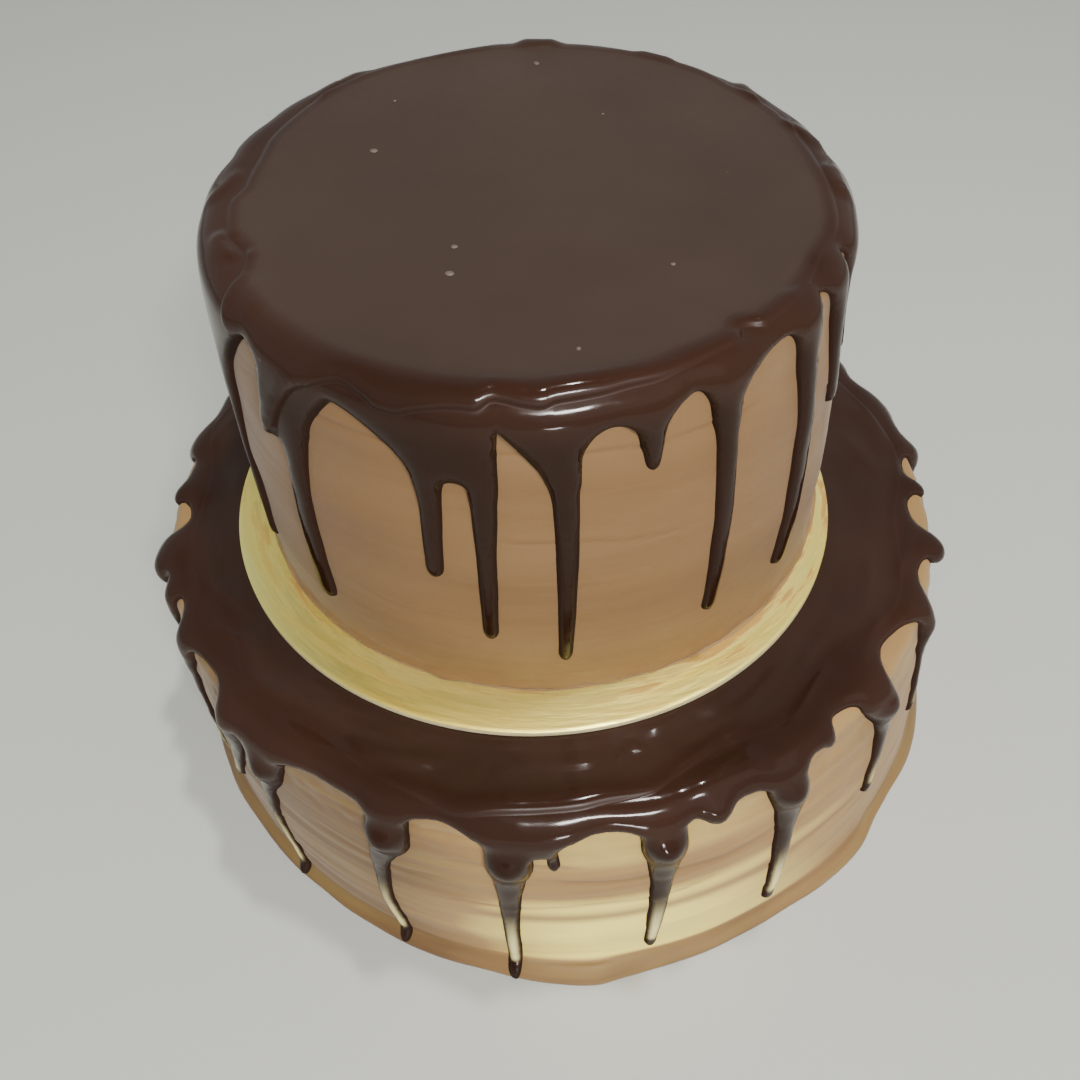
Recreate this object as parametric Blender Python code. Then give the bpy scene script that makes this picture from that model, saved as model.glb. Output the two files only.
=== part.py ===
"""Two-tier drip cake: two frosted round tiers, the card between them, and the chocolate ganache poured over each tier.

Sizes are millimetres and degrees, scaled to metres when a mesh is made. The origin is the middle of the lower tier's
underside, Z is up and the front faces -Y. An azimuth of 0 is the front and grows towards +X. A drop is the distance
below a tier's top edge, measured down the side; a negative drop lies on the top, inwards from the edge.
"""

import math

import bpy
import numpy as np
from mathutils import Vector
from mathutils.geometry import delaunay_2d_cdt

GAP = 0.3
COLUMNS = 72  # facets round a tier
CORNER_ROWS = 4

# A tier's side bulges: its radius is greatest at mid_z. The foot can carry a ridge of squeezed-out cream.
LOWER = dict(
    z0=0.0, z1=83.2, foot=(-1.5, -0.5), top=(-8.2, 0.5), corner=5.0,
    radius=131.4, mid_z=22.0, top_in=4.1, foot_in=0.3, ridge=3.8, ridge_height=6.5,
    waves=((2, 0.45, 35.0), (3, 0.40, 110.0), (5, 0.25, 10.0)),
)
UPPER = dict(
    z0=90.0, z1=193.0, foot=(-10.2, 3.1), top=(-13.2, 3.5), corner=4.5,
    radius=90.9, mid_z=120.0, top_in=5.2, foot_in=0.5, ridge=0.6, ridge_height=4.0,
    waves=((2, 0.35, 70.0), (3, 0.25, 20.0), (4, 0.15, 140.0)),
)
BOARD = dict(xy=(-13.2, -5.3), radius=97.3, z=87.5, thickness=2.2, bevel=0.4)

# Each run of ganache is a chain of (azimuth, drop, half width), from its head at the hem to its tip.
UPPER_RUNS = (
    ((-79.0, 20, 3.0), (-78.5, 34, 2.5), (-78.3, 42, 3.2)),
    ((-66.6, 28, 4.2), (-67.6, 45, 3.3), (-66.8, 60, 3.3), (-65.0, 72, 3.9), (-63.8, 89, 3.2)),
    ((-46.4, 12, 3.0), (-47.6, 27, 4.2)),
    ((-41.0, 24, 4.6), (-41.6, 36, 3.8), (-42.2, 54, 3.7), (-41.9, 70, 3.8), (-41.2, 84, 3.6)),
    ((-15.9, 24, 3.8), (-15.8, 34, 3.2), (-16.3, 55, 2.8)),
    ((-7.3, 22, 4.2), (-7.2, 33, 3.5), (-7.5, 50, 2.9), (-8.0, 78, 2.5)),
    ((5.3, 22, 4.2), (5.6, 30, 3.6), (5.5, 45, 3.3), (5.1, 66, 2.8), (4.5, 88, 2.3)),
    ((19.5, 15, 2.9), (19.7, 22, 2.5)),
    ((33.0, 15, 4.0), (33.1, 23, 3.5), (33.2, 46, 3.4), (32.4, 66, 3.0), (31.2, 82, 2.6)),
    ((53.0, 17, 4.2), (53.2, 30, 3.8), (53.0, 50, 3.9), (51.8, 68, 3.9), (49.8, 83.5, 3.3)),
    ((66.2, 14, 4.2), (66.2, 26, 4.1), (66.0, 39.5, 3.8)),
    ((75.6, 14, 2.4), (75.5, 34.5, 2.2)),
)
# The hem rises to a peak between two runs: (azimuth, drop, roundness of its left flank, of its right flank).
UPPER_PEAKS = (
    (-73.2, 19, 2.0, 2.0), (-50.6, 5.0, 1.15, 2.0), (-44.3, 23, 2.0, 2.0), (-30.8, 8.6, 1.15, 1.5),
    (-11.9, 23.4, 2.0, 2.0), (-4.3, 7.2, 2.4, 1.05), (13.3, 7.9, 2.1, 1.6), (26.7, 4.5, 1.8, 1.5),
    (45.6, 3.0, 2.3, 2.0), (58.4, 1.0, 2.0, 1.6), (71.0, 0.5, 1.8, 1.8),
)
LOWER_RUNS = (
    ((-88.6, 0.5, 3.2),),
    ((-78.0, 3.5, 5.0), (-75.5, 5.0, 5.5)),
    ((-69.6, 7, 3.4), (-69.6, 17, 2.1)),
    ((-60.8, 7, 4.0), (-61.2, 25, 1.8), (-62.4, 50, 1.7), (-64.0, 75, 1.7)),
    ((-46.4, 6, 5.6), (-48.5, 24, 3.3), (-51.4, 40, 2.5), (-53.2, 50.5, 2.3)),
    ((-39.3, 8, 6.2), (-40.3, 19, 4.4), (-42.6, 32, 2.5), (-44.2, 55, 1.9), (-43.0, 75.5, 1.9)),
    ((-20.5, 5, 6.0), (-21.6, 17, 6.6), (-22.6, 26, 4.0), (-23.8, 33, 2.3), (-24.5, 57, 1.8), (-23.6, 75.5, 1.9)),
    ((-5.6, 10, 6.3), (-5.9, 19, 5.6), (-6.3, 29, 3.6), (-6.6, 42, 2.6), (-7.2, 58, 1.9), (-7.8, 76, 2.1)),
    ((-0.2, 12, 1.3), (-0.2, 18.8, 1.9)),
    ((13.6, 6, 6.8), (13.8, 13, 5.6), (13.6, 22, 4.0), (13.0, 36, 2.5), (12.2, 50, 2.0), (11.0, 71.5, 1.8)),
    ((20.4, 5.8, 4.2),),
    ((30.8, 6, 7.2), (31.8, 15, 6.3), (31.5, 23, 4.4), (30.8, 32, 2.9), (29.6, 50, 2.3), (28.0, 69.5, 2.0)),
    ((38.4, 3.0, 2.8),),
    ((48.5, 4, 7.0), (50.8, 14, 5.4), (51.0, 25, 3.2), (49.5, 40, 2.4), (48.2, 50, 2.2)),
    ((65.3, 8, 3.4), (64.6, 26, 2.3), (62.6, 44, 2.1)),
    ((77.4, 2.5, 5.2),),
    ((88.9, 0.2, 2.8),),
    ((98.5, 3, 4.5), (98.0, 12, 3.0), (97.5, 26, 2.3)),
)
LOWER_PEAKS = (
    (-83.6, -6.5, 2.2, 2.2), (-72.6, 1.5, 2.0, 2.0), (-66.6, -2.0, 2.0, 2.0), (-52.4, -1.0, 2.0, 1.8),
    (-43.6, 15, 2.0, 2.0), (-31.0, 3.0, 1.5, 1.5), (-13.4, 2.6, 1.6, 1.5), (-2.0, 12.4, 2.0, 2.0),
    (6.2, 3.8, 1.5, 1.6), (17.2, 4.8, 2.0, 2.0), (24.5, 4.6, 1.8, 1.8), (35.8, 3.6, 1.8, 1.8),
    (41.0, -2.0, 1.8, 2.0), (55.6, -5.5, 1.8, 1.8), (71.4, -3.0, 1.8, 2.0), (84.6, -6.5, 2.2, 2.2),
    (92.8, -4.5, 2.0, 2.0),
)


def smooth(t):
    t = np.clip(t, 0.0, 1.0)
    return t * t * (3 - 2 * t)


def back_of(runs, peaks, seed, lengths, widths, spacing, rise):
    """The runs and peaks that carry the hem round the side that isn't seen, from the last row on to the first."""
    rng = np.random.default_rng(seed)
    runs, peaks = list(runs), list(peaks)
    end = runs[0][0][0] + 360
    at = runs[-1][0][0]
    count = max(1, round((end - at) / spacing))
    steps = rng.uniform(0.75, 1.25, count)
    steps *= (end - at) / steps.sum()
    for index, step in enumerate(steps):
        peaks.append((at + step * rng.uniform(0.42, 0.58), rng.uniform(*rise), rng.uniform(1.5, 2.2), rng.uniform(1.5, 2.2)))
        at += step
        if index == count - 1:
            break
        length = rng.uniform(*lengths) if rng.random() < 0.72 else rng.uniform(14, lengths[0])
        wide = rng.uniform(*widths)
        head = rng.uniform(12, 20)
        sway = rng.uniform(-1.5, 1.5)
        row = [(at, head, wide * 1.5), (at + 0.3 * sway, head + 0.3 * (length - head), wide)]
        if length > 40:
            row.append((at + 0.7 * sway, head + 0.65 * (length - head), wide * 0.8))
        row.append((at + sway, max(length, head + 8), wide * 0.75))
        runs.append(tuple(row))
    return tuple(runs), tuple(peaks)


class Surface:
    """A tier's outer skin, addressed by azimuth (radians) and arc length from the middle of the top."""

    def __init__(self, tier):
        self.tier = tier
        self.corner = tier["corner"]
        self.corner_z = tier["z1"] - self.corner
        self.edge = float(self.side(self.corner_z))
        self.flat = self.edge - self.corner
        self.arc = self.corner * math.pi / 2
        self.length = self.flat + self.arc + self.corner_z - tier["z0"]

    def side(self, z):
        t = self.tier
        up = np.clip((z - t["mid_z"]) / (t["z1"] - t["mid_z"]), 0, 1)
        down = np.clip((t["mid_z"] - z) / (t["mid_z"] - t["z0"]), 0, 1)
        return t["radius"] - t["top_in"] * up**2 - t["foot_in"] * down**2 + t["ridge"] * self.squeezed(z)

    def squeezed(self, z):
        """How much of the foot's ridge of squeezed-out cream there is at a height."""
        return smooth(1.1 - (z - self.tier["z0"]) / self.tier["ridge_height"]) ** 1.5

    def profile(self, s):
        turn = np.clip((s - self.flat) / self.corner, 0, math.pi / 2)
        z_side = self.corner_z - np.maximum(0, s - self.flat - self.arc)
        on_side = s > self.flat + self.arc
        r = np.where(on_side, self.side(z_side), np.minimum(s, self.flat) + self.corner * np.sin(turn))
        z = np.where(on_side, z_side, self.corner_z + self.corner * np.cos(turn))
        return r, z

    def at_drop(self, drop):
        c = self.corner
        return np.interp(drop, (-500, -c, c, 500), (self.edge - 500, self.flat, self.flat + self.arc, self.flat + self.arc + 500 - c))

    def clearance(self, s):
        """The gap under the ganache, wider round the corner, where its facets cut across the curve."""
        return GAP + 0.35 * smooth((s - self.flat + 5) / 4) * smooth((self.flat + self.arc + 4 - s) / 4)

    def points(self, azimuth, s, off=0.0, leaning=True):
        azimuth, s = np.asarray(azimuth, float), np.asarray(s, float)
        r, z = self.profile(s)
        r1, z1 = self.profile(np.maximum(s - 0.05, 0))
        r2, z2 = self.profile(s + 0.05)
        nr, nz = z1 - z2, r2 - r1
        size = np.hypot(nr, nz)
        wave = sum(a * np.cos(n * azimuth + math.radians(p)) for n, a, p in self.tier["waves"])
        uneven = 0.22 * (np.cos(3 * azimuth + 0.6) + 0.7 * np.cos(7 * azimuth + 2.0) + 0.5 * np.cos(12 * azimuth))
        uneven = uneven * self.tier["ridge"] * self.squeezed(z) * (s > self.flat + self.arc)
        r = r + wave * np.minimum(r / self.edge, 1) ** 2 + uneven + off * nr / size
        z = z + off * nz / size
        lean = (z - self.tier["z0"]) / (self.tier["z1"] - self.tier["z0"]) * leaning
        x = self.tier["foot"][0] + lean * (self.tier["top"][0] - self.tier["foot"][0])
        y = self.tier["foot"][1] + lean * (self.tier["top"][1] - self.tier["foot"][1])
        return np.stack([x + r * np.sin(azimuth), y - r * np.cos(azimuth), z], -1)


def hem_drop(azimuth, runs, peaks, radius):
    """How far down the plain hem hangs at each azimuth (degrees), between and inside the heads of the runs."""
    degree = radius * math.pi / 180
    spans = sorted((row[0][0] - row[0][2] / degree, row[0][0] + row[0][2] / degree, row[0][1]) for row in runs)
    start = spans[0][0]
    azimuth = (azimuth - start) % 360 + start
    drop = np.zeros_like(azimuth)
    for index, (left, right, at) in enumerate(spans):
        drop = np.where((azimuth >= left) & (azimuth <= right), at, drop)
        following = spans[(index + 1) % len(spans)]
        next_left = following[0] + (360 if index + 1 == len(spans) else 0)
        inside = (azimuth > right) & (azimuth < next_left)
        top, peak_drop, round_left, round_right = next(
            (p0 + turn, d, a, b) for p0, d, a, b in peaks for turn in (0, 360, -360) if right <= p0 + turn <= next_left
        )
        u = np.clip((top - azimuth) / max(top - right, 1e-6), 0, 1)
        v = np.clip((azimuth - top) / max(next_left - top, 1e-6), 0, 1)
        a = peak_drop + (at - peak_drop) * (1 - (1 - u**round_left) ** (1 / round_left))
        b = peak_drop + (following[2] - peak_drop) * (1 - (1 - v**round_right) ** (1 / round_right))
        drop = np.where(inside, np.where(azimuth < top, a, b), drop)
    return drop


def flow_field(surface, runs, peaks, step):
    """Positive inside the ganache: a grid over azimuth and drop, blended softly where a run leaves the hem."""
    around = 2 * math.pi * surface.edge
    nx = int(around / step)
    xs = np.arange(nx) * around / nx
    drops = np.arange(-14.0, 100.0, step)
    azimuth = np.degrees(xs / surface.edge)
    hem = hem_drop(azimuth, runs, peaks, surface.edge)
    slope = np.abs(np.roll(hem, -1) - np.roll(hem, 1)) / (2 * around / nx)
    field = (hem[:, None] - drops[None, :]) / np.sqrt(1 + np.minimum(slope, 3) ** 2)[:, None]
    blend = 1.0
    total = np.exp(np.clip(field / blend, -30, 30))
    for row in runs:
        best = np.full(field.shape, -40.0)
        chain = [(math.radians(a) * surface.edge, d, w) for a, d, w in row]
        if len(chain) == 1:
            chain.append((chain[0][0] + 0.01, chain[0][1] + 0.01, chain[0][2]))
        middle = chain[0][0]
        dx = (xs - middle + around / 2) % around - around / 2
        near = np.abs(dx) < 24
        px, py = dx[near][:, None], drops[None, :]
        for (x0, y0, w0), (x1, y1, w1) in zip(chain, chain[1:]):
            ax, bx = x0 - middle, x1 - middle
            length = (bx - ax) ** 2 + (y1 - y0) ** 2
            t = np.clip(((px - ax) * (bx - ax) + (py - y0) * (y1 - y0)) / length, 0, 1)
            away = np.hypot(px - ax - t * (bx - ax), py - y0 - t * (y1 - y0))
            best[near] = np.maximum(best[near], w0 + (w1 - w0) * smooth(t) - away)
        total += np.exp(np.clip(best / blend, -30, 30))
    return np.log(total) * blend - blend * 0.35, xs, drops, around


def contour(field, xs, drops, around):
    """The longest closed level-0 line of a grid that wraps round in x, as (x, drop) points in order."""
    nx, ny = field.shape
    step_x = around / nx
    inside = field > 0
    links, places = {}, {}

    def crossing(i, j, other_i, other_j, key):
        if key not in places:
            a, b = field[i % nx, j], field[other_i % nx, other_j]
            t = a / (a - b)
            places[key] = ((i + (other_i - i) * t) * step_x, drops[j] + (drops[other_j] - drops[j]) * t)
        return key

    wrap = np.roll(inside, -1, axis=0)
    mixed = ~((inside[:, :-1] == inside[:, 1:]) & (inside[:, :-1] == wrap[:, :-1]) & (inside[:, :-1] == wrap[:, 1:]))
    for i, j in zip(*np.nonzero(mixed)):
        i, j = int(i), int(j)
        k = (i + 1) % nx
        corners = (inside[i, j], inside[k, j], inside[k, j + 1], inside[i, j + 1])
        ends = []
        if corners[0] != corners[1]:
            ends.append(crossing(i, j, i + 1, j, ("h", i, j)))
        if corners[1] != corners[2]:
            ends.append(crossing(i + 1, j, i + 1, j + 1, ("v", k, j)))
        if corners[2] != corners[3]:
            ends.append(crossing(i, j + 1, i + 1, j + 1, ("h", i, j + 1)))
        if corners[3] != corners[0]:
            ends.append(crossing(i, j, i, j + 1, ("v", i, j)))
        pairs = [(0, 1)] if len(ends) == 2 else ([(0, 1), (2, 3)] if corners[1] != corners[0] and not corners[0] else [(0, 3), (1, 2)])
        for a, b in pairs:
            links.setdefault(ends[a], []).append(ends[b])
            links.setdefault(ends[b], []).append(ends[a])
    best = []
    seen = set()
    for first in links:
        if first in seen:
            continue
        loop, previous, here = [first], None, first
        seen.add(first)
        while True:
            following = [n for n in links[here] if n != previous and n not in seen]
            if not following:
                break
            previous, here = here, following[0]
            seen.add(here)
            loop.append(here)
        if len(loop) > len(best):
            best = loop
    return np.array([(places[key][0] % around, places[key][1]) for key in best])


def thin_out(line, around, tolerance, longest):
    """Drops the points of a closed (x, drop) line that lie within the tolerance of its shape."""
    far = int(np.argmax(line[:, 1]))
    p = np.concatenate([line[far:], line[:far]])
    p[:, 0] = np.unwrap(p[:, 0], period=around)
    n = len(p)
    keep = [0]
    i = 0
    while i < n - 1:
        j = i + 2
        while j < n:
            chord = p[j] - p[i]
            size = math.hypot(*chord)
            if size > longest:
                break
            rel = p[i + 1 : j] - p[i]
            off = np.abs(rel[:, 0] * chord[1] - rel[:, 1] * chord[0]) / max(size, 1e-9)
            if off.max() > tolerance:
                break
            j += 1
        i = j - 1
        keep.append(i)
    if keep[-1] >= n - 1:
        keep = keep[:-1]
    return p[keep]


def film(positions, faces, fixed, thickness, spread):
    """Heights of a liquid film over a mesh: nought at the fixed points, swelling towards the given thickness."""
    n = len(positions)
    i, j, k = faces.T
    weights_i, weights_j, weights_w = [], [], []
    area = np.zeros(n)
    for a, b, c in ((i, j, k), (j, k, i), (k, i, j)):
        u, v = positions[a] - positions[c], positions[b] - positions[c]
        cross = np.linalg.norm(np.cross(u, v), axis=1) + 1e-9
        cot = np.clip(np.einsum("ij,ij->i", u, v) / cross, -5, 5) / 2
        weights_i += [a, b]
        weights_j += [b, a]
        weights_w += [cot, cot]
        np.add.at(area, a, cross / 6)
    wi, wj, ww = np.concatenate(weights_i), np.concatenate(weights_j), np.maximum(np.concatenate(weights_w), 0.01)
    diagonal = np.bincount(wi, ww, n) + spread * area
    source = spread * thickness**2 * area
    free = ~fixed

    def apply(u):
        return np.where(free, diagonal * u - np.bincount(wi, ww * u[wj], n), 0)

    u = np.zeros(n)
    residual = np.where(free, source, 0)
    z = residual / diagonal
    p = z.copy()
    rz = residual @ z
    for _ in range(300):
        ap = apply(p)
        alpha = rz / max(p @ ap, 1e-30)
        u += alpha * p
        residual -= alpha * ap
        z = residual / diagonal
        new = residual @ z
        if new < 1e-8 * len(u):
            break
        p = z + new / rz * p
        rz = new
    return np.sqrt(np.maximum(u, 0))


def triangulate(azimuth, s, loops):
    """Triangles over the flat sunburst picture of a top and its side, kept inside the first loop."""
    flat = [Vector((float(q * math.sin(a)), float(-q * math.cos(a)))) for a, q in zip(azimuth, s)]
    edges = [(a, b) for loop in loops for a, b in zip(loop, list(loop[1:]) + [loop[0]])]
    verts, _, faces, origin, _, _ = delaunay_2d_cdt(flat, edges, [], 1, 1e-4)
    index = [min(o) if o else -1 for o in origin]
    if min(index) < 0 or len(verts) != len(flat):
        raise ValueError("the outline crosses itself")
    tris = []
    for face in faces:
        f = [index[v] for v in face]
        (x0, y0), (x1, y1), (x2, y2) = (flat[v] for v in f)
        if (x1 - x0) * (y2 - y0) - (x2 - x0) * (y1 - y0) < 0:
            f.reverse()
        tris.append(f)
    return np.array(tris)


def mesh_object(name, points, faces, material):
    mesh = bpy.data.meshes.new(name)
    mesh.from_pydata([tuple(p) for p in np.asarray(points) * 0.001], [], [tuple(int(v) for v in f) for f in faces])
    mesh.materials.append(material)
    mesh.polygons.foreach_set("use_smooth", [True] * len(mesh.polygons))
    mesh.update()
    obj = bpy.data.objects.new(name, mesh)
    bpy.context.scene.collection.objects.link(obj)
    return obj


def tier_object(name, surface, material):
    """The solid tier: rings from the middle of the top, round the corner, down the side to the underside."""
    tier = surface.tier
    azimuth = np.arange(COLUMNS) * 2 * math.pi / COLUMNS
    corner = surface.flat + np.linspace(0, 1, CORNER_ROWS + 1) * surface.arc
    side_end = surface.length
    ridge_top = side_end - 1.1 * tier["ridge_height"]
    side = np.concatenate([np.linspace(corner[-1], ridge_top, 5)[1:], np.linspace(ridge_top, side_end, 4)[1:]])
    rows = np.concatenate([[surface.flat * 0.55], corner, side])
    points = [surface.points(0.0, 0.0)[None, :]]
    points += [surface.points(azimuth, np.full(COLUMNS, s)) for s in rows]
    points.append(np.array([[*tier["foot"], tier["z0"]]]))
    points = np.concatenate(points)
    faces = []
    last = len(points) - 1
    for c in range(COLUMNS):
        d = (c + 1) % COLUMNS
        faces.append((0, 1 + c, 1 + d))
        for r in range(len(rows) - 1):
            a, b = 1 + r * COLUMNS, 1 + (r + 1) * COLUMNS
            faces.append((a + c, b + c, b + d, a + d))
        a = 1 + (len(rows) - 1) * COLUMNS
        faces.append((a + d, a + c, last))
    return mesh_object(name, points, faces, material)


def ganache_object(name, surface, runs, peaks, top_thickness, material):
    """The poured layer: a film over the whole top whose hem and runs hang down the side, closed underneath."""
    field, xs, drops, around = flow_field(surface, runs, peaks, 0.6)
    outline = thin_out(contour(field, xs, drops, around), around, 0.35, 10.0)
    inner = thin_out(contour(field - 1.35, xs, drops, around), around, 0.4, 12.0)

    def value(x, drop):
        fx = (x % around) / around * len(xs)
        i = fx.astype(int) % len(xs)
        k = (i + 1) % len(xs)
        fy = np.clip((drop - drops[0]) / (drops[1] - drops[0]), 0, len(drops) - 1.001)
        j = fy.astype(int)
        u, v = fx - np.floor(fx), fy - j
        return (field[i, j] * (1 - u) + field[k, j] * u) * (1 - v) + (field[i, j + 1] * (1 - u) + field[k, j + 1] * u) * v

    azimuth = [outline[:, 0] / surface.edge, inner[:, 0] / surface.edge]
    s = [surface.at_drop(outline[:, 1]), surface.at_drop(inner[:, 1])]
    columns = np.arange(COLUMNS) * 2 * math.pi / COLUMNS
    corner = surface.flat + np.linspace(0, 1, CORNER_ROWS + 1) * surface.arc
    for row in [*corner, corner[-1] + 5, corner[-1] + 12]:
        drop = np.interp(row, surface.at_drop(np.array([-surface.corner, surface.corner, 60])), [-surface.corner, surface.corner, 60])
        keep = value(columns * surface.edge, np.full(COLUMNS, drop)) > 2.6
        azimuth.append(columns[keep])
        s.append(np.full(keep.sum(), row))
    for radius, count in ((surface.flat - 8, 36), (surface.flat * 0.70, 18), (surface.flat * 0.36, 9)):
        azimuth.append(np.arange(count) * 2 * math.pi / count + 0.03)
        s.append(np.full(count, radius))
    azimuth, s = np.concatenate([*azimuth, [0.0]]), np.concatenate([*s, [0.0]])
    loops = [list(range(len(outline))), list(range(len(outline), len(outline) + len(inner)))]
    fixed = np.arange(len(s)) < len(outline)
    for _ in range(8):
        faces = triangulate(azimuth, s, loops)
        pairs = np.unique(np.sort(np.concatenate([faces[:, [0, 1]], faces[:, [1, 2]], faces[:, [2, 0]]]), axis=1), axis=0)
        first, second = pairs.T
        turn = np.angle(np.exp(1j * (azimuth[second] - azimuth[first])))
        mid_azimuth, mid_s = azimuth[first] + turn / 2, (s[first] + s[second]) / 2
        base = surface.points(azimuth, s, surface.clearance(s), False)
        middle = surface.points(mid_azimuth, mid_s, 0, False)
        normal = surface.points(mid_azimuth, mid_s, 1, False) - middle
        room = np.einsum("ij,ij->i", (base[first] + base[second]) / 2 - middle, normal)
        homes = [{tuple(sorted(e)): i for i, e in enumerate(zip(loop, loop[1:] + loop[:1]))} for loop in loops]
        chord = fixed[first] & fixed[second] & np.array([tuple(e) not in homes[0] for e in pairs.tolist()])
        split = np.nonzero(chord | ((room < 0.1) & (mid_s > surface.flat - 8)))[0]
        if not len(split):
            break
        inserts = [[], []]
        for order, pair in enumerate(split):
            for home, insert in zip(homes, inserts):
                at = home.get(tuple(pairs[pair].tolist()))
                if at is not None:
                    insert.append((at + 1, len(s) + order))
        on_edge = {new for _, new in inserts[0]}
        fixed = np.concatenate([fixed, [len(s) + order in on_edge for order in range(len(split))]])
        azimuth, s = np.concatenate([azimuth, mid_azimuth[split]]), np.concatenate([s, mid_s[split]])
        for loop, insert in zip(loops, inserts):
            for at, new in sorted(insert, reverse=True):
                loop.insert(at, new)
    base = surface.points(azimuth, s)
    thickness = top_thickness(base) + (2.9 - top_thickness(base)) * smooth((s - surface.flat + 2) / (surface.arc + 2))
    height = np.where(fixed, 0, np.maximum(film(base, faces, fixed, thickness, 0.30), 0.25))
    outer = surface.points(azimuth, s, surface.clearance(s) + height)
    under = surface.points(azimuth, s, surface.clearance(s))
    below = np.where(fixed, np.arange(len(s)), len(s) + np.cumsum(~fixed) - 1)
    points = np.concatenate([outer, under[~fixed]])
    return mesh_object(name, points, np.concatenate([faces, below[faces[:, ::-1]]]), material)


def board_object(name, material):
    count = 60
    radius, bevel = BOARD["radius"], BOARD["bevel"]
    rings = (
        (radius - bevel, BOARD["z"]), (radius, BOARD["z"] + bevel),
        (radius, BOARD["z"] + BOARD["thickness"] - bevel), (radius - bevel, BOARD["z"] + BOARD["thickness"]),
    )
    azimuth = np.arange(count) * 2 * math.pi / count
    points = [
        (BOARD["xy"][0] + r * math.sin(a), BOARD["xy"][1] - r * math.cos(a), z) for r, z in rings for a in azimuth
    ]
    faces = [tuple(reversed(range(count))), tuple(range(3 * count, 4 * count))]
    for r in range(3):
        for c in range(count):
            d = (c + 1) % count
            faces.append((r * count + c, r * count + d, (r + 1) * count + d, (r + 1) * count + c))
    return mesh_object(name, points, faces, material)


def material(name, colour, roughness, metallic=0.0, coat=0.0):
    made = bpy.data.materials.new(name)
    made.use_nodes = True
    shader = made.node_tree.nodes["Principled BSDF"]
    shader.inputs["Base Color"].default_value = (*colour, 1)
    shader.inputs["Roughness"].default_value = roughness
    shader.inputs["Metallic"].default_value = metallic
    shader.inputs["Coat Weight"].default_value = coat
    made.diffuse_color = (*colour, 1)
    return made


for old in list(bpy.data.objects):
    bpy.data.objects.remove(old)

cream = material("mocha_cream", (0.42, 0.27, 0.165), 0.62)
ganache = material("chocolate_ganache", (0.030, 0.014, 0.010), 0.2, coat=0.5)
foil = material("gold_foil", (0.62, 0.50, 0.22), 0.35, metallic=1.0)

lower, upper = Surface(LOWER), Surface(UPPER)


def under_board(base):
    """The lower pour is deeper where the board presses into it."""
    away = np.hypot(base[:, 0] - BOARD["xy"][0], base[:, 1] - BOARD["xy"][1]) - BOARD["radius"]
    deep = BOARD["z"] - 0.35 - GAP - LOWER["z1"]
    return 2.5 + (deep - 2.5) * smooth((9.0 - away) / 8.0)


tier_object("lower_tier", lower, cream)
ganache_object(
    "lower_ganache", lower,
    *back_of(LOWER_RUNS, LOWER_PEAKS, 11, (30, 70), (1.9, 2.8), 12.5, (-3, 5)),
    under_board, ganache,
)
board_object("tier_board", foil)
tier_object("upper_tier", upper, cream)
ganache_object(
    "upper_ganache", upper,
    *back_of(UPPER_RUNS, UPPER_PEAKS, 5, (45, 92), (2.2, 3.0), 15.5, (2, 9)),
    lambda base: np.full(len(base), 2.3), ganache,
)
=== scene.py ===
"""Two-tier drip cake: its finished cream, poured ganache and gold card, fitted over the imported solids.

Sizes are millimetres and degrees until a mesh is made. An azimuth of 0 is the front, -Y, and grows towards
+X. A drop is the distance below a tier's top edge, measured down its side. A negative drop lies on the top,
inwards from the edge.
"""

import math

import bpy
import numpy as np
from mathutils import Matrix, Vector
from mathutils.geometry import delaunay_2d_cdt


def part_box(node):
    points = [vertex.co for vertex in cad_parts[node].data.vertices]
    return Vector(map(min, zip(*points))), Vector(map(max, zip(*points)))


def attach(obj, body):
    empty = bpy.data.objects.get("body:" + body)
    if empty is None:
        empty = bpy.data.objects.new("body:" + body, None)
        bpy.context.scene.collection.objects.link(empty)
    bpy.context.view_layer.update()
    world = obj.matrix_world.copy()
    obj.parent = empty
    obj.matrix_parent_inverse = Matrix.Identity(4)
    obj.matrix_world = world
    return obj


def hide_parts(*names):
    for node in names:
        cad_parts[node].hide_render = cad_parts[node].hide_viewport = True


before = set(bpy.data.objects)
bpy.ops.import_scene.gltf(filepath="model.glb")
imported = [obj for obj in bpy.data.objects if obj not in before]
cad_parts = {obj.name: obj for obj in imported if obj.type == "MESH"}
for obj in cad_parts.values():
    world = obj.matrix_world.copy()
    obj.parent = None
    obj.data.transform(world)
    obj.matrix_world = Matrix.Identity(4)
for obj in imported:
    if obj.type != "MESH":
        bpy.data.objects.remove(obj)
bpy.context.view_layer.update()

MM = 0.001

# ------------ sizes

LOWER = dict(
    z0=0.0, z1=83.2, foot=(-1.5, -0.5), top=(-8.2, 0.5), corner=5.0,
    radius=131.4, mid_z=22.0, top_in=4.1, foot_in=0.3, ridge=3.8, ridge_height=6.5,
    waves=((2, 0.45, 35.0), (3, 0.40, 110.0), (5, 0.25, 10.0)),
)
UPPER = dict(
    z0=90.0, z1=193.0, foot=(-10.2, 3.1), top=(-13.2, 3.5), corner=4.5,
    radius=90.9, mid_z=120.0, top_in=5.2, foot_in=0.5, ridge=0.6, ridge_height=4.0,
    waves=((2, 0.35, 70.0), (3, 0.25, 20.0), (4, 0.15, 140.0)),
)

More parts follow.
